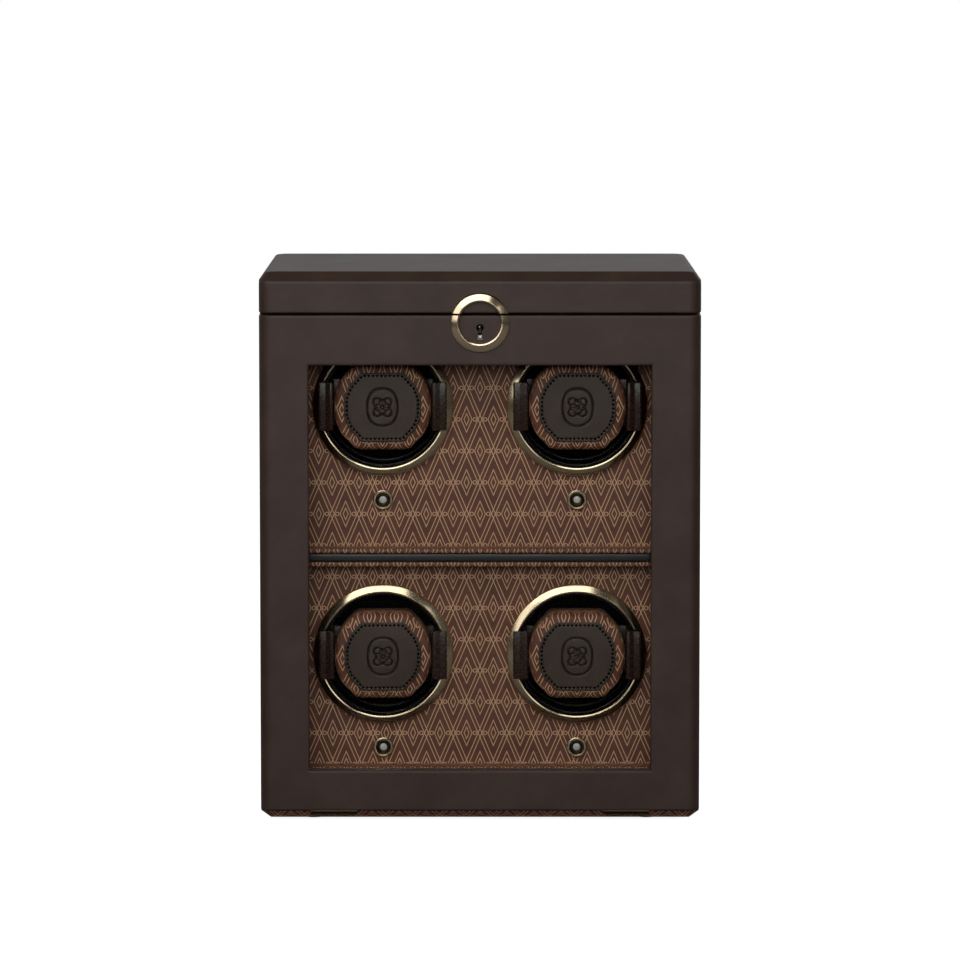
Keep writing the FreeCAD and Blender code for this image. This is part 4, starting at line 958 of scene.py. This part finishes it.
seam = eight_sided(PATCH_HALF_X - 2.0, PATCH_HALF_Z - 2.0, 2.4)
seam_length = sum((Vector(a) - Vector(b)).length for a, b in zip(seam, seam[1:] + seam[:1]))
stitch_count = round(seam_length / STITCH_PITCH)
seam_spots = evenly(seam, stitch_count * 2)
stitching = bmesh.new()
for k in range(stitch_count):
    here, after, before = seam_spots[2 * k], seam_spots[2 * k + 1], seam_spots[2 * k - 1]
    direction = Vector((after.x - before.x, 0, after.y - before.y)).normalized()
    capsule(stitching, Vector((here.x, PATCH_FRONT - 0.05, here.y)), direction, 1.8, 0.85)
sewn = make_piece("sewn", stitching, thread_black, "cuff_upper_left")
on_each_cuff(sewn, "cuff_stitching_", thread_black)
print("stitches:", stitch_count, "on each cuff")

# %% [markdown]
# ## Lock ring
# A half-round champagne ring frames the keyhole, and the seam between lid and door parts it: its
# top rides on the lid and its lower part on the door. A whole ring is turned, then cut at the seam
# with a plane for each piece. In the keyhole stand the lock's post and, below it, a small steel
# skirt.

# %% Lock ring
ring_low, ring_high = extent("door_lock_ring")
RING_OUTER = (ring_high.x - ring_low.x) / 2
RING_Z = ring_low.z + RING_OUTER
RING_INNER = RING_OUTER - 5.7


def lock_ring_profile():
    """A narrow inner lip, and a broad face that slopes gently outwards."""
    return rounded([(RING_INNER, FRONT + 0.3), (RING_OUTER, FRONT + 0.3), (RING_OUTER, FRONT - 0.9),
                    (RING_OUTER - 0.9, FRONT - 1.7), (RING_INNER + 1.0, ring_low.y),
                    (RING_INNER, ring_low.y + 0.5)],
                   [0.05, 0.05, 0.5, 0.8, 0.45, 0.4], steps=5)


def half_ring(name, above, height, body, node):
    """The part of the lock ring above or below a height."""
    solid = turned(lock_ring_profile(), 0, RING_Z, 128, joined=True)
    cut_plane = bmesh.ops.bisect_plane(solid, geom=solid.verts[:] + solid.edges[:] + solid.faces[:],
                                       plane_co=(0, 0, height), plane_no=(0, 0, 1),
                                       clear_inner=above, clear_outer=not above)
    edges = [e for e in cut_plane["geom_cut"] if isinstance(e, bmesh.types.BMEdge)]
    bmesh.ops.holes_fill(solid, edges=edges)
    return make_piece(name, solid, champagne, body, [node], angle=50)


plug = extent("lock_plug")[0].y
post = rounded([(0.05, plug - 1.6), (0.75, plug - 1.6), (0.75, plug + 0.5), (0.05, plug + 0.5)],
               [0.1, 0.5, 0.1, 0.1], closed=False)
make_piece("key_post", turned(post, -0.4, key_z + 0.4, 24), steel, "door")
skirt = rounded_boxes([((-1.5, plug - 1.2, key_z - 7.2), (1.5, plug - 0.2, key_z - 5.6))], 0.25)
make_piece("keyhole_skirt", skirt, steel, "door")
half_ring("lock_ring_on_lid", True, lid_low.z, "lid", "lid_lock_ring")
half_ring("lock_ring_on_door", False, door_high.z, "door", "door_lock_ring")
print("lock ring radius", round(RING_OUTER, 2), "mm, centre at", round(RING_Z, 2), "mm")

# %% [markdown]
# ## Hinge screws
# Each leaf of the lid's hinges is held by three oval-headed screws. A head is a low turned dome,
# and its slot is a black bar set into it, as painted shade in place of a cut recess. A leaf's plate
# is found from its own mesh, because the box round a leaf also holds the knuckles.

# %% Screws
LID_HINGE_X = 85.0
SCREW_RADIUS = 2.3


def plate_back(node, z):
    """How far back a leaf's plate reaches at a height, in millimetres."""
    leaf = frame["nodes"][node]
    points = [leaf.matrix_world @ v.co / MM for v in leaf.data.vertices]
    return max(p.y for p in points if abs(p.z - z) < 7.5)


def add_screws(node, body, z):
    """Three slotted screws on each of a hinge's two leaves."""
    low, high = extent(node)
    y = plate_back(node, z)
    gap = (high.x - LID_HINGE_X) * 0.62
    dome = [(0.05, 0.75), (1.1, 0.62), (1.9, 0.3), (SCREW_RADIUS, 0.0), (SCREW_RADIUS, -0.3),
            (0.05, -0.3)]
    heads, slots = bmesh.new(), []
    for middle in (-LID_HINGE_X, LID_HINGE_X):
        for x in (middle - gap, middle, middle + gap):
            turned([(r, y + rise) for r, rise in dome], x, z, 24, solid=heads)
            # Each slot is a black bar: painted shade where a real slot is a recess.
            slots.append(((x - 1.7, y + 0.2, z - 0.22), (x + 1.7, y + 0.68, z + 0.22)))
    make_piece("screws_on_" + body, heads, bronze, body)
    make_piece("screw_slot_shades_on_" + body, rounded_boxes(slots, 0.08, 1), black_lacquer, body)


add_screws("cabinet_hinge_leaves", "cabinet", extent("cabinet_hinge_leaves")[0].z + 7)
add_screws("lid_hinge_leaves", "lid", extent("lid_hinge_leaves")[1].z - 7)

# %% [markdown]
# ## Lid cushion
# Under the lid lies a padded panel of the same canvas, a thin board with foam that is fullest in
# the middle. A crowned panel is enough, with the depth falling to a rolled edge.

# %% Lid cushion
pad_low, pad_high = extent("lid_lining")


def crowned_panel(low, high, crown):
    """A panel under the lid, deepest in the middle and rolled in at its border."""
    centre, half = (low + high) / 2, (high - low) / 2
    rings = []
    for k in range(13):
        turn = math.radians(90 * k / 12)
        share = 1 - 0.06 * (1 - math.cos(turn))
        z = high.z - (high.z - low.z - crown) * math.sin(turn)
        rings.append((share, z))
    for k in range(1, 14):
        share = 1 - k / 14
        rings.append((0.94 * share, low.z + crown * share ** 2))
    outline = evenly(rounded(rectangle(half.x, -half.y, half.y), 3, 4), 128)
    return loft([[(centre.x + p.x * share, centre.y + p.y * share, z) for p in outline]
                 for share, z in rings])


panel = crowned_panel(pad_low + Vector((0.4, 0.4, 0)), pad_high - Vector((0.4, 0.4, 0.2)), 4.0)
lid_pad = make_piece("lid_canvas_cushion", panel, canvas, "lid", ["lid_lining"],
                     angle=80)

# %% [markdown]
# ## Studio
# The box stands on a plain pale floor in soft light. A broad fill from the front gives the leather
# its sheen, and edges that turn away stay dark. A softbox above and in front lights the tops of the
# rings, weaker ones stand to the left and right, and one lights the back. The room itself is bright
# behind the box and dim overhead, which is why the top of the lid looks light and its bevel dark.

# %% Floor
FLOOR_REACH = 9.0
pale = linear("#f6f6f5")
floor_material, floor_tree, floor_shader = new_material("pale_studio_floor", base_color=pale,
                                                        roughness=0.9)
floor_shader.inputs["Emission Color"].default_value = (1, 1, 1, 1)
floor_seen = add_node(floor_tree, "LightPath")
floor_glow = add_node(floor_tree, "Math", {0: floor_seen, 1: 0.92}, operation="MULTIPLY")
floor_colour = add_node(floor_tree, "Mix", {0: floor_seen, 6: linear("#8a8a8a"), 7: pale},
                        out=2, data_type="RGBA")
feed(floor_tree, floor_shader, Emission_Strength=floor_glow, Base_Color=floor_colour)
floor_mesh = bpy.data.meshes.new("studio_floor")
disc = bmesh.new()
bmesh.ops.create_circle(disc, cap_ends=True, radius=FLOOR_REACH, segments=72)
disc.to_mesh(floor_mesh)
disc.free()
floor = bpy.data.objects.new("studio_floor", floor_mesh)
floor_mesh.materials.append(floor_material)
bpy.context.scene.collection.objects.link(floor)

# %% Room
world = bpy.data.worlds.new("studio_room")
bpy.context.scene.world = world
world.use_nodes = True
room = world.node_tree
room.nodes.clear()
heading = add_node(room, "TexCoord")
room_y, room_z = add_node(room, "SeparateXYZ", {0: heading}, None).outputs[1:]
behind = add_node(room, "MapRange", {"Value": room_y, "From Min": -0.2, "From Max": 0.75,
                                               "To Min": 0.07, "To Max": 0.58},
                  interpolation_type="SMOOTHSTEP")
overhead = add_node(room, "MapRange", {"Value": room_z, "From Min": 0.3, "From Max": 0.85,
                                                 "To Min": 1.0, "To Max": 0.12},
                    interpolation_type="SMOOTHSTEP")
glow = add_node(room, "Math", {0: behind, 1: overhead}, operation="MULTIPLY")
seen = add_node(room, "LightPath")
brightness = add_node(room, "Math", {0: glow, 1: seen}, operation="MAXIMUM")
backdrop = add_node(room, "Background", {"Color": (1, 1, 1, 1), "Strength": brightness})
add_node(room, "OutputWorld", {"Surface": backdrop}, None)


# %% Softboxes
def softbox(name, place, target, width, height, watts):
    """A rectangular lamp that faces its target."""
    lamp = bpy.data.lights.new(name, "AREA")
    lamp.shape = "RECTANGLE"
    lamp.size, lamp.size_y = width, height
    lamp.energy = watts
    light = bpy.data.objects.new(name, lamp)
    light.location = place
    light.rotation_euler = (Vector(target) - Vector(place)).to_track_quat("-Z", "Y").to_euler()
    bpy.context.scene.collection.objects.link(light)


softbox("front_top_softbox", (-0.2, -1.0, 1.15), (0, -0.1, 0.25), 1.2, 0.6, 5.5)
softbox("left_softbox", (-1.1, -1.2, 0.75), (0, -0.1, 0.25), 0.4, 0.9, 1.8)
softbox("right_softbox", (1.2, -2.0, 0.8), (0, -0.1, 0.2), 0.6, 1.0, 3)
softbox("back_softbox", (1.3, 2.3, 0.9), (0, 0.1, 0.2), 1.2, 1.2, 9)
softbox("front_fill", (-0.2, -2.7, 0.95), (0, -0.1, 0.3), 1.6, 0.8, 19)

# %% Camera
LENS_MM = 192.2
camera_data = bpy.data.cameras.new("camera")
camera_data.lens = LENS_MM
camera_data.clip_end = 100
camera = bpy.data.objects.new("camera", camera_data)
camera.location = (0, -3.4075, 0.561)
camera.rotation_euler = (math.radians(90 - 5.81), 0, 0)
bpy.context.scene.collection.objects.link(camera)
bpy.context.scene.camera = camera
bpy.context.scene.view_settings.view_transform = "Standard"
print("camera", [round(c, 3) for c in camera.location])
